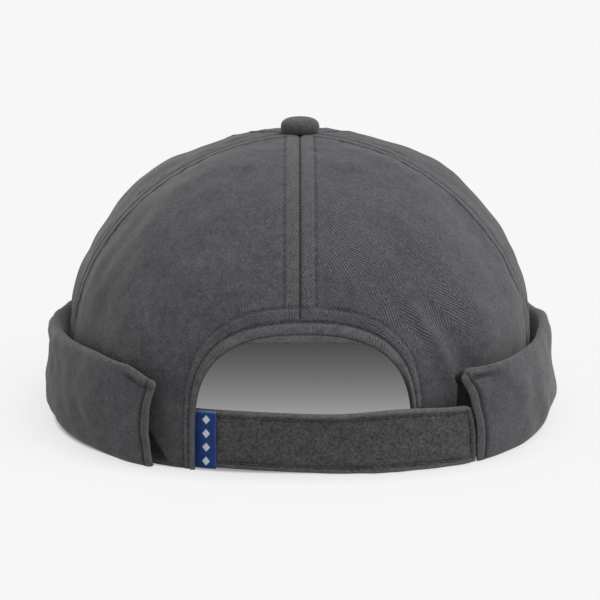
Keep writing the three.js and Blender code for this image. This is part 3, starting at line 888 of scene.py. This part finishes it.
strap_rows = edge_spacing(strap_height, 3.2 * mm, 0.7 * mm)
near_end = 0.08  # the last share of the length, where the points stand closer
to_strap_end = np.linspace(near_end, 0, 44)[1:] ** 1.2 / near_end**0.2
strap_shares = np.concatenate([np.linspace(0, 1 - near_end, 120), 1 - to_strap_end])
corner = np.where(strap_rows < strap_height / 2, *strap_corners)
into_corner = np.maximum(corner - np.minimum(strap_rows, strap_height - strap_rows), 0)
corner_inset = corner - np.sqrt(corner**2 - into_corner**2)
end_degree = degree_length(np.array(cuff_right_end), np.array(0.1))
strap_ends = cuff_right_turn(strap_rows) - (strap_end_gap + corner_inset) / end_degree
strap_turns = lerp(strap_hidden_turn, strap_ends, strap_shares[:, None])
strap_ups = strap_up(strap_turns, strap_rows)
to_side = np.minimum(strap_rows, strap_height - strap_rows)
to_end = (strap_ends - strap_turns) * end_degree
to_edge = np.minimum(to_side, to_end)
edge_round = np.sqrt(np.clip(1 - (1 - to_edge / strap_edge_round) ** 2, 0, 1))
edge_round = np.where(to_edge > strap_edge_round, 1, edge_round)
border = 0.3 * mm * (1 - smoothstep(to_edge, border_width - 0.3 * mm, border_width + 0.5 * mm))
stitch_groove = 0.4 * mm * channel(to_edge - border_width, 0.6 * mm)
strap_place = np.stack([strap_turns * end_degree, strap_ups, 0 * strap_ups], axis=-1)
rough = 0.16 * mm * soft_waves(strap_place, 7 * mm, seed=41)
front_out = strap_thickness * (0.5 + 0.42 * edge_round) + border + stitch_groove + rough
back_out = strap_thickness * (0.42 - 0.42 * edge_round)
strap_front = beside_crown(strap_turns, strap_ups, strap_out(strap_turns) + front_out)
strap_back = beside_crown(strap_turns, strap_ups, strap_out(strap_turns) + back_out)
strap_thread = strap_place[..., :2].reshape(-1, 2)
strap_points, strap_faces = close_shell(
    strap_front.reshape(-1, 3), strap_back.reshape(-1, 3), grid_faces(*strap_turns.shape))
# Painted shade in the stitched groove round the strap.
strap_creases = np.concatenate([-channel(to_edge - border_width, 0.5 * mm).ravel() * 0.5,
                                np.zeros(to_edge.size)])
# A painted highlight along the strap's raised border, fading inwards.
strap_border_highlight = np.concatenate([1 - smoothstep(to_edge, 0.4 * mm, border_width).ravel(),
                               np.zeros(to_edge.size)])
make_piece("brushed_strap", strap_points, strap_faces, np.concatenate([strap_thread, strap_thread]),
           "strap_twill", ["adjuster_strap"], crease=strap_creases, border=strap_border_highlight)

# %% [markdown]
# The tag is a short loop of satin ribbon, caught between the strap and the cap. It is a small grid that
# follows the strap, thinner at its two folds and rippled a little, and it stays plain until it is woven.

# %% Fold the tag
tag_width = 6.6 * mm
tag_hidden = 4 * mm
tag_height = 20.8 * mm
tag_lift = 0.1 * mm
arch_left_x = axis[0] + arch_shift - arch_half_width
tag_columns = np.linspace(arch_left_x - tag_hidden, arch_left_x + tag_width, 26)
tag_rows = np.linspace(0, tag_height, 50)
tag_x, tag_up = np.meshgrid(tag_columns, tag_rows + tag_lift, indexing="ij")
tag_turns = turn_at(tag_x, lambda turn: rise_at_height(turn, np.full(turn.shape, 10 * mm)))
tag_rest = strap_out(tag_turns) + strap_thickness + strap_clearance
tag_ripple = 0.1 * mm * soft_waves(np.stack([tag_x, tag_up, 0 * tag_x], axis=-1), 9 * mm, seed=51)
tag_edge = np.minimum(tag_rows, tag_height - tag_rows)
tag_puff = tag_thickness * (0.35 + 0.65 * np.sqrt(np.clip(tag_edge / (0.8 * mm), 0, 1)))
tag_front = beside_crown(tag_turns, tag_up, tag_rest + tag_puff + tag_ripple)
tag_back = beside_crown(tag_turns, tag_up, tag_rest)
tag_thread = np.stack([tag_x, tag_up], axis=-1).reshape(-1, 2)
tag_points, tag_faces = close_shell(
    tag_front.reshape(-1, 3), tag_back.reshape(-1, 3), grid_faces(*tag_x.shape))
make_piece("satin_tag", tag_points, tag_faces, np.concatenate([tag_thread, tag_thread]),
           "tag_weave", ["strap_tag"])

# %% [markdown]
# The button is a metal shell with a disc of the same twill drawn over it. Turned like a bead on a
# lathe, it needs only its outline; the cloth pulled over its edge gives it faint radial gathers.

# %% Cover the button
button_radius = 7.3 * mm
button_height = 5.8 * mm
button_gap = 0.3 * mm
shank_radius = 2.2 * mm
shank_length = 3.4 * mm
button_outline = through([
    (0, 0), (0.6, 0), (0.88, 0), (0.98, 0.16), (1, 0.4), (0.93, 0.68), (0.72, 0.88), (0.38, 0.98),
    (0.02, 1),
], 46) * [button_radius, button_height]
shank_outline = np.array([[0, -shank_length], [shank_radius * 0.9, -shank_length],
                          [shank_radius, -shank_length * 0.9], [shank_radius, 0]])
clear_of_shank = button_outline[:, 0] > shank_radius * 1.1
upper_half = button_outline[:, 1] > button_height / 2
button_foot = button_outline[clear_of_shank | upper_half]
lathe = np.concatenate([shank_outline[1:], button_foot])
lathe_steps = np.linalg.norm(np.diff(lathe[::-1], axis=0), axis=1)
lathe_walk = np.concatenate([[0], np.cumsum(lathe_steps)])[::-1]
lathe_turns = np.radians(np.linspace(0, 360, 96, endpoint=False))
gather = 0.05 * mm * np.sin(lathe_turns * 17) * smoothstep(lathe[:, :1], 5 * mm, 7 * mm)
button_x = (lathe[:, :1] + gather) * np.sin(lathe_turns)
button_y = -(lathe[:, :1] + gather) * np.cos(lathe_turns)
button_z = np.broadcast_to(crown_height + button_gap + lathe[:, 1:], button_x.shape)
button_points = np.stack([axis[0] + button_x, axis[1] + button_y, button_z], axis=-1)
lathe_spokes = np.stack([np.sin(lathe_turns), -np.cos(lathe_turns)], axis=-1)
button_thread = lathe_walk[:, None, None] * lathe_spokes
button_faces = close_tube_ends(grid_faces(*button_x.shape, closed=True), *button_x.shape)
make_piece("covered_button", button_points.reshape(-1, 3), button_faces, button_thread.reshape(-1, 2),
           "button_twill", ["top_button"])

# %% [markdown]
# Topstitching is what makes a cap look sewn. Every stitch is a short piece of thread that rises out of
# the cloth, lies on it and goes back in, so each one is a small bent capsule. A row of them follows a
# line of points on the cloth, sunk into the channel that was shaped for it. All the rows that lie on
# one part are joined into one piece.

# %% Sew the rows of stitches
stitch_pitch = 3.1 * mm
stitch_length = 2.5 * mm
thread_radius = 0.21 * mm
stitch_sides = 6
stitch_profile = [  # place along the stitch, share of the thread's radius, lift in radii
    (-0.5, 0.3, -1.2), (-0.42, 0.8, -0.3), (-0.2, 1, 0.5), (0.2, 1, 0.5), (0.42, 0.8, -0.3),
    (0.5, 0.3, -1.2),
]


def stitch_row(points, normals, pitch=stitch_pitch):
    """Middles, directions and normals of the stitches along a line of points."""
    walk = np.concatenate([[0], np.cumsum(np.linalg.norm(np.diff(points, axis=0), axis=1))])
    middles = np.arange(pitch / 2, walk[-1] - pitch / 2, pitch)

    def at(steps, values):
        return np.stack([np.interp(steps, walk, values[:, k]) for k in range(3)], axis=-1)

    ahead = unit(at(middles + pitch / 4, points) - at(middles - pitch / 4, points))
    return at(middles, points), ahead, unit(at(middles, normals))


def sew(name, rows, slot):
    middles, ahead, normals = (np.concatenate(parts) for parts in zip(*rows))
    sideways = unit(np.cross(normals, ahead))
    normals = np.cross(ahead, sideways)
    ring_angles = np.linspace(0, 2 * np.pi, stitch_sides, endpoint=False)
    rings = []
    for place, fat, lift in stitch_profile:
        for angle in ring_angles:
            across = np.cos(angle) * thread_radius * fat
            height = np.sin(angle) * thread_radius * fat + lift * thread_radius
            rings.append(middles + ahead * place * stitch_length + sideways * across + normals * height)
    points = np.stack(rings, axis=1)
    one = grid_faces(len(stitch_profile), stitch_sides, closed=True)
    one = close_tube_ends(one, len(stitch_profile), stitch_sides)
    size = points.shape[1]
    faces = [tuple(np.array(face)[::-1] + k * size) for k in range(len(points)) for face in one]
    points = points.reshape(-1, 3)
    thread = points[:, [0, 2]]
    print(name, len(middles), "stitches")
    return make_piece(name, points, faces, thread, slot)


def crown_row(turns, rises):
    points = on_crown(turns, rises, relief(turns, rises) + 0.05 * mm)
    return stitch_row(points, crown_normal(turns, rises))


crown_rows = []
row_rises = np.linspace(0.02, 0.955, 260)
for seam in seams[:-1]:
    along_seam = degree_length(np.full(row_rises.shape, float(seam)), row_rises)
    for side in (-1, 1):
        turns = seam + side * topstitch_distance / along_seam
        bare = bare_crown(turns, row_rises)
        ring = np.where(bare[:, 1] < axis[1], arch_ring(bare[:, 0], bare[:, 2]), furthest_ring)
        clear = ring > outer_stitch_ring + 0.1
        crown_rows.append(crown_row(turns[clear], row_rises[clear]))
for ring in (1.05, outer_stitch_ring):
    turns, rises = on_arch(np.linspace(0.02, np.pi - 0.02, 300), np.full(300, ring))
    crown_rows.append(crown_row(turns, rises))
sew("crown_topstitching", crown_rows, "crown_twill")

# %% [markdown]
# The strap is sewn all round at a border's width from its edge, with shorter stitches that lie down in
# the groove that was shaped for them. The row at the end follows the slant of the end.

# %% Sew round the strap
strap_pitch = 2.6 * mm
strap_stitch_depth = 0.25 * mm


def strap_row(turns, ups):
    out = strap_out(turns) + strap_thickness - strap_stitch_depth
    points = beside_crown(turns, strap_up(turns, ups), out)
    normals = crown_normal(turns, np.full(turns.shape, 0.1)) * [1, 1, 0]
    return stitch_row(points, unit(normals), strap_pitch)


def strap_row_end(up):
    """The turn a border's width in from the slanting end of the strap."""
    return cuff_right_turn(up) - (strap_end_gap + border_width) / end_degree


strap_rows_sewn = []
for up in (border_width, strap_height - border_width):
    turns = np.linspace(left_foot + 1, strap_row_end(up), 200)
    strap_rows_sewn.append(strap_row(turns, up))
end_ups = np.linspace(border_width, strap_height - border_width, 60)
strap_rows_sewn.append(strap_row(strap_row_end(end_ups), end_ups))
sew("strap_topstitching", strap_rows_sewn, "strap_twill")

# %% [markdown]
# Now the finishes. Every material is a tree of nodes, and wiring them one by one takes many lines. The
# Board places a node, fills in its numbers and wires its inputs in one call, with short names for the
# nodes that are used most. A group is such a tree with named inputs and outputs of its own.

# %% Helpers that wire nodes
class Board:
    """A short way to place nodes and wire them."""

    def __init__(self, tree):
        self.tree = tree

    def put(self, value, socket):
        """Gives a socket a number or a colour, or wires another node's output to it."""
        if isinstance(value, bpy.types.NodeSocket):
            self.tree.links.new(value, socket)
        else:
            socket.default_value = value

    def node(self, kind, inputs=None, **settings):
        node = self.tree.nodes.new(kind)
        for key, value in settings.items():
            setattr(node, key, value)
        for key, value in (inputs or {}).items():
            self.put(value, node.inputs[key])
        return node

    def math(self, operation, *values, clamp=False):
        inputs = {place: value for place, value in enumerate(values)}
        return self.node("ShaderNodeMath", inputs, operation=operation, use_clamp=clamp).outputs[0]

    def noise(self, vector, scale, detail=3.0, roughness=0.6):
        values = {"Vector": vector, "Scale": scale, "Detail": detail, "Roughness": roughness}
        return self.node("ShaderNodeTexNoise", values).outputs["Fac"]

    def spread(self, value, low, high, to_low=0.0, to_high=1.0):
        values = {0: value, 1: low, 2: high, 3: to_low, 4: to_high}
        return self.node("ShaderNodeMapRange", values, clamp=True).outputs[0]

    def mask(self, name):
        """One of the masks that were stored on the mesh."""
        return self.node("ShaderNodeAttribute", attribute_name=name).outputs["Fac"]

    def add_shares(self, value, shares):
        """Adds a share of each mask to a value and keeps the sum within 0 and 1."""
        for mask, share in shares:
            value = self.math("ADD", value, self.math("MULTIPLY", mask, share), clamp=True)
        return value


def new_group(name, inputs, outputs):
    tree = bpy.data.node_groups.new(name, "ShaderNodeTree")
    for title, kind, value in inputs:
        socket = tree.interface.new_socket(title, in_out="INPUT", socket_type=f"NodeSocket{kind}")
        if value is not None:
            socket.default_value = value
    for title, kind in outputs:
        tree.interface.new_socket(title, in_out="OUTPUT", socket_type=f"NodeSocket{kind}")
    board = Board(tree)
    return board, board.node("NodeGroupInput").outputs, board.node("NodeGroupOutput").inputs


# %% [markdown]
# The cloth is a herringbone twill. Its diagonal ribs lean one way for about eight millimetres and then
# back the other way, which draws rows of chevrons up the panel. One node group makes the pattern from
# the thread map, so that every piece can use it with its own column width. The direction turns round
# where the folded coordinate turns round, and the rib itself is a sine wave, broken up by streaks.

# %% A node group for the herringbone
board, given, gives = new_group(
    "Herringbone Weave",
    [("Thread Map", "Vector", None), ("Rib Pitch", "Float", 0.001), ("Column Width", "Float", 0.008),
     ("Wander", "Float", 0.004)],
    [("Height", "Float"), ("Rib", "Float"), ("Speck", "Float")],
)
parts = board.node("ShaderNodeSeparateXYZ", {0: given["Thread Map"]}).outputs
wander = board.math("SUBTRACT", board.noise(given["Thread Map"], 28.0, detail=2.0), 0.5)
across = board.math("ADD", parts[0], board.math("MULTIPLY", wander, given["Wander"]))
folded = board.math("PINGPONG", across, given["Column Width"])
lean_cosine, lean_sine = 0.921, 0.391  # the ribs lean 23 degrees
waver_reach = 0.6 * mm
rib_place = board.math("SUBTRACT", board.math("MULTIPLY", folded, lean_cosine),
                       board.math("MULTIPLY", parts[1], lean_sine))
along_rib = board.math("ADD", board.math("MULTIPLY", folded, lean_sine),
                       board.math("MULTIPLY", parts[1], lean_cosine))
waver = board.math("SUBTRACT", board.noise(given["Thread Map"], 260.0, detail=2.0), 0.5)
rib_place = board.math("ADD", rib_place, board.math("MULTIPLY", waver, waver_reach))
rib_turn = board.math("MULTIPLY", board.math("DIVIDE", rib_place, given["Rib Pitch"]), 2 * np.pi)
rib = board.spread(board.math("SINE", rib_turn), -0.8, 0.8)
streak_place = board.node("ShaderNodeCombineXYZ", {
    0: board.math("MULTIPLY", rib_place, 900.0), 1: board.math("MULTIPLY", along_rib, 260.0),
    2: board.math("MULTIPLY", parts[0], 30.0)}).outputs[0]
streak = board.noise(streak_place, 1.0, detail=2.0)
broken = board.spread(streak, 0.36, 0.6, 0.15, 1)
swing = board.math("MULTIPLY", board.math("SUBTRACT", rib, 0.5), broken)
rib = board.math("ADD", swing, 0.5)
yarn_turn = board.math("MULTIPLY", board.math("DIVIDE", along_rib, given["Rib Pitch"]), 3.4 * np.pi)
yarn = board.spread(board.math("SINE", yarn_turn), -1, 1)
speck = board.spread(board.noise(given["Thread Map"], 1300.0, detail=2.0), 0.3, 0.7)
height = board.math("ADD", board.math("MULTIPLY", rib, 0.8), board.math("MULTIPLY", yarn, 0.2))
board.put(rib, gives["Rib"])
board.put(speck, gives["Speck"])
board.put(height, gives["Height"])
herringbone = board.tree
print("herringbone group with", len(herringbone.nodes), "nodes")

# %% [markdown]
# Brushed cotton never shows its weave evenly. The nap hides the ribs in some patches and is rubbed off
# in others, and the dye is a little lighter where the cloth stands proud. A second group gives these
# slow changes as masks, from the place of the point in space, so that they run on over the seams.

# %% A node group for nap and wear
board, given, gives = new_group(
    "Brushed Nap",
    [("Patch Size", "Float", 0.024), ("Fibre Size", "Float", 0.0012)],
    [("Patches", "Float"), ("Mottle", "Float"), ("Fibres", "Float"), ("Lint", "Float"),
     ("Worn Edge", "Float")],
)
place = board.node("ShaderNodeTexCoord").outputs["Object"]
patches = board.noise(place, board.math("DIVIDE", 1.0, given["Patch Size"]), detail=3.0, roughness=0.65)
board.put(board.spread(patches, 0.38, 0.62), gives["Patches"])
mottle = board.noise(place, 300.0, detail=5.0, roughness=0.75)
board.put(board.spread(mottle, 0.3, 0.7), gives["Mottle"])
fibres = board.noise(place, board.math("DIVIDE", 1.0, given["Fibre Size"]), detail=3.0, roughness=0.7)
board.put(fibres, gives["Fibres"])
lint = board.noise(place, 1100.0, detail=1.0)
board.put(board.spread(lint, 0.64, 0.76), gives["Lint"])
pointed = board.node("ShaderNodeNewGeometry").outputs["Pointiness"]
board.put(board.spread(pointed, 0.505, 0.56), gives["Worn Edge"])
brushed_nap = board.tree
print("nap group with", len(brushed_nap.nodes), "nodes")

# %% [markdown]
# Each cloth is a Principled material with a rough surface and a little sheen, the soft glow of fibre
# ends seen from the side. Three things are the same for all of them: a mask of painted shade darkens
# the colour in the creases, colours are mixed by a mask, and heights go into a Bump node.

# %% Helpers for the materials
def mix(board, share, first, second):
    """The first colour where the share is 0 and the second where it is 1."""
    values = {0: share}
    for place, colour in ((6, first), (7, second)):
        values[place] = colour if isinstance(colour, bpy.types.NodeSocket) else (*colour, 1)
    return board.node("ShaderNodeMix", values, data_type="RGBA").outputs[2]


def new_material(name, roughness, sheen):
    material = bpy.data.materials.new(name)
    material.use_nodes = True
    board = Board(material.node_tree)
    shader = board.tree.nodes["Principled BSDF"]
    shader.inputs["Roughness"].default_value = roughness
    shader.inputs["Specular IOR Level"].default_value = 0.2
    shader.inputs["Sheen Weight"].default_value = sheen
    shader.inputs["Sheen Roughness"].default_value = 0.5
    return material, board, shader


def darken_creases(board, colour):
    # Painted shade: the colour goes nearly black in the creases.
    share = board.math("MULTIPLY", board.mask("crease"), 0.75, clamp=True)
    return mix(board, share, colour, (0.012, 0.012, 0.013))


def add_bump(board, shader, height, distance, strength=1.0):
    values = {"Strength": strength, "Distance": distance, "Height": height}
    bump = board.node("ShaderNodeBump", values)
    board.put(bump.outputs[0], shader.inputs["Normal"])


# %% [markdown]
# The twill's colour lies between a dark and a light one. The ribs swing it both ways where they are
# seen, and mottling, specks, lint, wear and a painted highlight on the proud welts add their shares.
# The weave and the fibres are also raised.
# The cuff, the bound edge and the button are the same cloth, a little differently worn.

# %% Dye the twill
weave_depth = 0.3 * mm
nap_hides = 0.75  # the share of the ribs that the nap covers where it is thickest


def twill(name, dark, light, ribs_everywhere=0.0, grain=1.0, column_width=7.6 * mm):
    material, board, shader = new_material(name, roughness=0.9, sheen=0.2)
    thread_map = board.node("ShaderNodeUVMap", uv_map="thread").outputs[0]
    weave = board.node("ShaderNodeGroup", node_tree=herringbone)
    board.put(thread_map, weave.inputs["Thread Map"])
    weave.inputs["Column Width"].default_value = column_width
    nap = board.node("ShaderNodeGroup", node_tree=brushed_nap)
    seen = board.spread(nap.outputs["Patches"], 0, 1, 1 - nap_hides, 1)
    ribs = board.math("ADD", board.mask("ribs"), ribs_everywhere, clamp=True)
    seen = board.math("MULTIPLY", ribs, seen)
    rib = board.math("MULTIPLY", board.math("SUBTRACT", weave.outputs["Rib"], 0.5), seen)
    shade = board.math("MULTIPLY_ADD", rib, 1.6, 0.02)
    # Painted highlight: the welts and the band's sides are lightened in specks.
    speckled_highlight = board.math("MULTIPLY", board.mask("worn"), weave.outputs["Speck"])
    shade = board.add_shares(shade, [
        (nap.outputs["Mottle"], 0.42 * grain), (weave.outputs["Speck"], 0.42 * grain),
        (nap.outputs["Worn Edge"], 0.12), (nap.outputs["Lint"], 0.45 * grain),
        (nap.outputs["Patches"], 0.06), (speckled_highlight, 0.5),
    ])
    colour = mix(board, shade, dark, light)
    board.put(darken_creases(board, colour), shader.inputs["Base Color"])
    height = board.math("ADD", board.math("MULTIPLY", weave.outputs["Height"], seen),
                        board.math("MULTIPLY", nap.outputs["Fibres"], 0.5))
    add_bump(board, shader, height, weave_depth)
    print(name, "with", len(board.tree.nodes), "nodes")
    return material


materials = {
    "crown_twill": twill("charcoal_twill", (0.023, 0.0225, 0.0245), (0.119, 0.1175, 0.1265)),
    "binding_twill": twill("binding_twill", (0.02, 0.0195, 0.0215), (0.124, 0.122, 0.131),
                           ribs_everywhere=0.3, grain=1.35, column_width=30 * mm),
    "cuff_twill": twill("cuff_twill", (0.03, 0.0295, 0.032), (0.127, 0.1255, 0.135),
                        ribs_everywhere=0.12),
    "button_twill": twill("button_twill", (0.03, 0.03, 0.032), (0.12, 0.12, 0.125),
                          ribs_everywhere=0.4),
}

# %% [markdown]
# The strap's cloth is knitted into tiny loops that hook tape can hold. The loops are brushed, so there
# is no pattern, only a rough nap with darker pits, and a painted highlight along the turned border.

# %% Brush the strap
material, board, shader = new_material("brushed_loop_cloth", roughness=0.95, sheen=0.15)
nap = board.node("ShaderNodeGroup", node_tree=brushed_nap)
nap.inputs["Patch Size"].default_value = 12 * mm
nap.inputs["Fibre Size"].default_value = 1.05 * mm
loops = board.spread(nap.outputs["Fibres"], 0.36, 0.64)
# The border mask lightens the strap's edge as a painted highlight.
shade = board.add_shares(board.math("MULTIPLY", loops, 0.5), [
    (nap.outputs["Mottle"], 0.25), (board.mask("border"), 0.4), (nap.outputs["Lint"], 0.35),
])
colour = darken_creases(board, mix(board, shade, (0.026, 0.026, 0.027), (0.135, 0.135, 0.14)))
board.put(colour, shader.inputs["Base Color"])
add_bump(board, shader, nap.outputs["Fibres"], 0.6 * mm)
materials["strap_twill"] = material
print(material.name, "with", len(board.tree.nodes), "nodes")

# %% [markdown]
# The tag is satin ribbon: long floating threads that all run one way, so it is smoother and shinier
# than the twill. A fine ribbing across it keeps it from looking painted. Four small white diamonds are
# woven into it as a plain ornament. Each is the set of points whose sideways and upward distances from
# its middle, counted in half widths and half heights, add up to less than one.

# %% Weave the tag
material, board, shader = new_material("navy_satin", roughness=0.45, sheen=0.1)
thread_map = board.node("ShaderNodeUVMap", uv_map="thread").outputs[0]
parts = board.node("ShaderNodeSeparateXYZ", {0: thread_map}).outputs
ribs = board.math("SINE", board.math("MULTIPLY", parts[1], 2 * np.pi / (0.45 * mm)))
ribs = board.spread(ribs, -1, 1)
nap = board.node("ShaderNodeGroup", node_tree=brushed_nap)
shade = board.add_shares(board.math("MULTIPLY", ribs, 0.3), [
    (nap.outputs["Mottle"], 0.4), (nap.outputs["Worn Edge"], 0.6),
])
ribbon = mix(board, shade, (0.005, 0.024, 0.12), (0.015, 0.064, 0.26))
# A painted highlight along the tag's top fold.
fold_highlight = board.spread(parts[1], float(tag_height - 0.7 * mm), float(tag_height), 0, 0.7)
ribbon = mix(board, fold_highlight, ribbon, (0.2, 0.24, 0.34))
diamond_middle = float(arch_left_x + 3.1 * mm)
diamond_half_width = 1.5 * mm
diamond_half_height = 1.7 * mm
diamond_spacing = 5 * mm
diamond_start = 0.3 * mm
sideways = board.math("ABSOLUTE", board.math("SUBTRACT", parts[0], diamond_middle))
sideways = board.math("DIVIDE", sideways, diamond_half_width)
upward = board.math("PINGPONG", board.math("SUBTRACT", parts[1], diamond_start), diamond_spacing / 2)
upward = board.math("DIVIDE", board.math("SUBTRACT", diamond_spacing / 2, upward), diamond_half_height)
diamond = board.spread(board.math("ADD", sideways, upward), 0.85, 1.05, 1, 0)
board.put(mix(board, diamond, ribbon, (0.6, 0.63, 0.68)), shader.inputs["Base Color"])
height = board.math("ADD", board.math("MULTIPLY", ribs, 0.5), diamond)
add_bump(board, shader, height, 0.12 * mm, strength=0.5)
materials["tag_weave"] = material
print(material.name, "with", len(board.tree.nodes), "nodes")

# %% [markdown]
# Every piece asked for its finish by name when it was made. Now that the finishes exist, they are
# handed out.

# %% Hand out the finishes
for piece in bpy.context.scene.objects:
    finish = piece_slots.get(piece.name)
    if finish:
        piece.data.materials.clear()
        piece.data.materials.append(materials[finish])
print(len(piece_slots), "pieces dressed with", len(materials), "finishes")

# %% [markdown]
# The cap stands on a plain pale floor that runs far back, so no horizon is seen. It is only a setting
# for the picture, and does not belong to the cap.

# %% Lay the floor
floor_mesh = bpy.data.meshes.new("pale_floor")
floor_steps = np.linspace(-20, 20, 5)
floor_x, floor_y = np.meshgrid(floor_steps, floor_steps, indexing="ij")
floor_points = np.stack([floor_x, floor_y, 0 * floor_x], axis=-1).reshape(-1, 3)
floor_mesh.from_pydata(floor_points.tolist(), [], grid_faces(5, 5).tolist())
pale_floor = bpy.data.objects.new("pale_floor", floor_mesh)
bpy.context.scene.collection.objects.link(pale_floor)
pale_floor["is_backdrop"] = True

# %% [markdown]
# The floor is a light table, paper lit from below, which keeps the background even and the shadow
# faint. Under the cap the glow is left out and the paper is painted almost black, as painted shadow,
# and a painted leak of light, brightest behind the arch and fading towards the front, stands in for the
# light that comes in there. Close round the cap, most in front of it, the glow is dimmed as a painted
# contact shadow. The cap's outline on the floor is a squarish ellipse, and reach says how far out of
# its middle a point is: 1 is on the outline.

# %% Light the floor from below
material, board, shader = new_material("light_table_paper_with_painted_shade", roughness=0.9, sheen=0)
place = board.node("ShaderNodeTexCoord").outputs["Object"]
parts = board.node("ShaderNodeSeparateXYZ", {0: place}).outputs
fibre = board.noise(place, 60.0)
footprint_half_width = 95 * mm
footprint_half_length = 103.5 * mm
footprint_middle = float(axis[1] + 2 * mm)
footprint_squareness = 2.35
across = board.math("DIVIDE", board.math("SUBTRACT", parts[0], float(axis[0])), footprint_half_width)
along = board.math("DIVIDE", board.math("SUBTRACT", parts[1], footprint_middle), footprint_half_length)
across = board.math("POWER", board.math("ABSOLUTE", across), footprint_squareness)
along = board.math("POWER", board.math("ABSOLUTE", along), footprint_squareness)
reach = board.math("POWER", board.math("ADD", across, along), 1 / footprint_squareness)
# The cap's footprint, where the floor's glow and colour give way to painted shadow and a painted leak of
# light.
painted_footprint = board.spread(reach, 0.97, 1.0, 1, 0)
painted_leak_at_origin = 0.25
painted_leak_fade = -78.6 * mm  # the way towards the front on which the leak falls to about a third
brightest_painted_leak = 0.31
# A painted leak of light on the floor under the cap, brightest behind the arch.
painted_leak = board.math("EXPONENT", board.math("DIVIDE", parts[1], painted_leak_fade))
painted_leak = board.math("MINIMUM", board.math("MULTIPLY", painted_leak, painted_leak_at_origin), brightest_painted_leak)
from_middle = board.math("ABSOLUTE", parts[0])
behind_arch = board.spread(from_middle, arch_half_width + 8 * mm, arch_half_width + 22 * mm, 1, 0)
painted_leak = board.math("MULTIPLY", painted_leak, behind_arch)
open_glow = 0.8
# A painted contact shadow: the glow is dimmed close round the cap, most in front of it.
darkest = board.spread(parts[1], -0.1, -0.06, 0.87, 0.95)
edge_shade = board.spread(reach, 1.0, 1.14, darkest, 1)
in_the_open = board.math("SUBTRACT", 1.0, painted_footprint)
glow_outside = board.math("MULTIPLY", in_the_open, board.math("MULTIPLY", edge_shade, open_glow))
glow = board.math("ADD", board.math("MULTIPLY", painted_footprint, painted_leak), glow_outside)
seen_directly = board.node("ShaderNodeLightPath").outputs["Is Camera Ray"]
bounce_share = 0.62
glow = board.math("MULTIPLY", glow, board.spread(seen_directly, 0, 1, bounce_share, 1))
glow_colour = board.node("ShaderNodeCombineColor", {0: glow, 1: glow, 2: glow}).outputs[0]
board.put(glow_colour, shader.inputs["Emission Color"])
shader.inputs["Emission Strength"].default_value = 1
shader.inputs["Specular IOR Level"].default_value = 0
paper = mix(board, fibre, (0.105, 0.105, 0.105), (0.115, 0.115, 0.115))
# Under the cap the paper is painted almost black, a painted shadow.
paper = mix(board, painted_footprint, paper, (0.001, 0.001, 0.001))
board.put(paper, shader.inputs["Base Color"])
floor_mesh.materials.append(material)

# %% [markdown]
# The light is that of a small product studio: an even white dome, and one broad soft light from high on
# the right that models the folds. A small lamp inside the cap, which the camera does not see, lights
# the far wall behind the opening.

# %% Set the lights
world = bpy.data.worlds.new("studio_dome")
bpy.context.scene.world = world
world.use_nodes = True
world.node_tree.nodes["Background"].inputs["Color"].default_value = (1, 1, 1, 1)
world.node_tree.nodes["Background"].inputs["Strength"].default_value = 0.55


def add_sun(name, azimuth, height, strength, angle):
    light = bpy.data.lights.new(name, "SUN")
    light.energy = strength
    light.angle = np.radians(angle)
    lamp = bpy.data.objects.new(name, light)
    lamp.rotation_euler = (np.radians(90 - height), 0, np.radians(azimuth))
    bpy.context.scene.collection.objects.link(lamp)


add_sun("high_soft_light", azimuth=65, height=62, strength=2.2, angle=60)

inside_light = bpy.data.lights.new("light_inside_the_cap", "AREA")
inside_light.shape = "RECTANGLE"
inside_light.size = 90 * mm
inside_light.size_y = 6 * mm
inside_light.energy = 0.037
inside_lamp = bpy.data.objects.new("light_inside_the_cap", inside_light)
inside_lamp.location = (float(axis[0]), 60 * mm, 20 * mm)
inside_lamp.rotation_euler = (np.radians(80), 0, 0)
inside_lamp.visible_camera = False
bpy.context.scene.collection.objects.link(inside_lamp)

# %% [markdown]
# The camera looks at the back of the cap from a little above. A long lens from just over a metre keeps
# the rim's ellipse as flat as it is in the photograph. Distance, tilt and lens were fitted to that
# ellipse and to the height of the cap.

# %% Place the camera
camera_distance = 1.1
camera_tilt = np.radians(12.3)
aim = np.array([axis[0], axis[1], 40.6 * mm])
pixels_per_metre = 2610
image_width = 600
camera_data = bpy.data.cameras.new("camera")
camera_data.sensor_width = 36
camera_data.lens = pixels_per_metre * camera_distance / image_width * camera_data.sensor_width
camera_data.clip_end = 100
camera = bpy.data.objects.new("camera", camera_data)
camera.location = aim + camera_distance * np.array([0, -np.cos(camera_tilt), np.sin(camera_tilt)])
camera.rotation_euler = (np.pi / 2 - camera_tilt, 0, 0)
bpy.context.scene.collection.objects.link(camera)
bpy.context.scene.camera = camera
bpy.context.scene.view_settings.view_transform = "Standard"
print("lens", round(camera_data.lens, 1), "mm")

# %% [markdown]
# Last, the box of the dressed cap is kept beside the box of the frame, to see that the cloth has not
# outgrown it.

# %% Compare the sizes and finish
dressed_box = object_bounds()
boxes = {"cad": cad_box, "visual": dressed_box}
plain = {name: [[float(x) for x in corner] for corner in box] for name, box in boxes.items()}
for name, (low, high) in plain.items():
    print(name, [round((b - a) / mm, 1) for a, b in zip(low, high)])
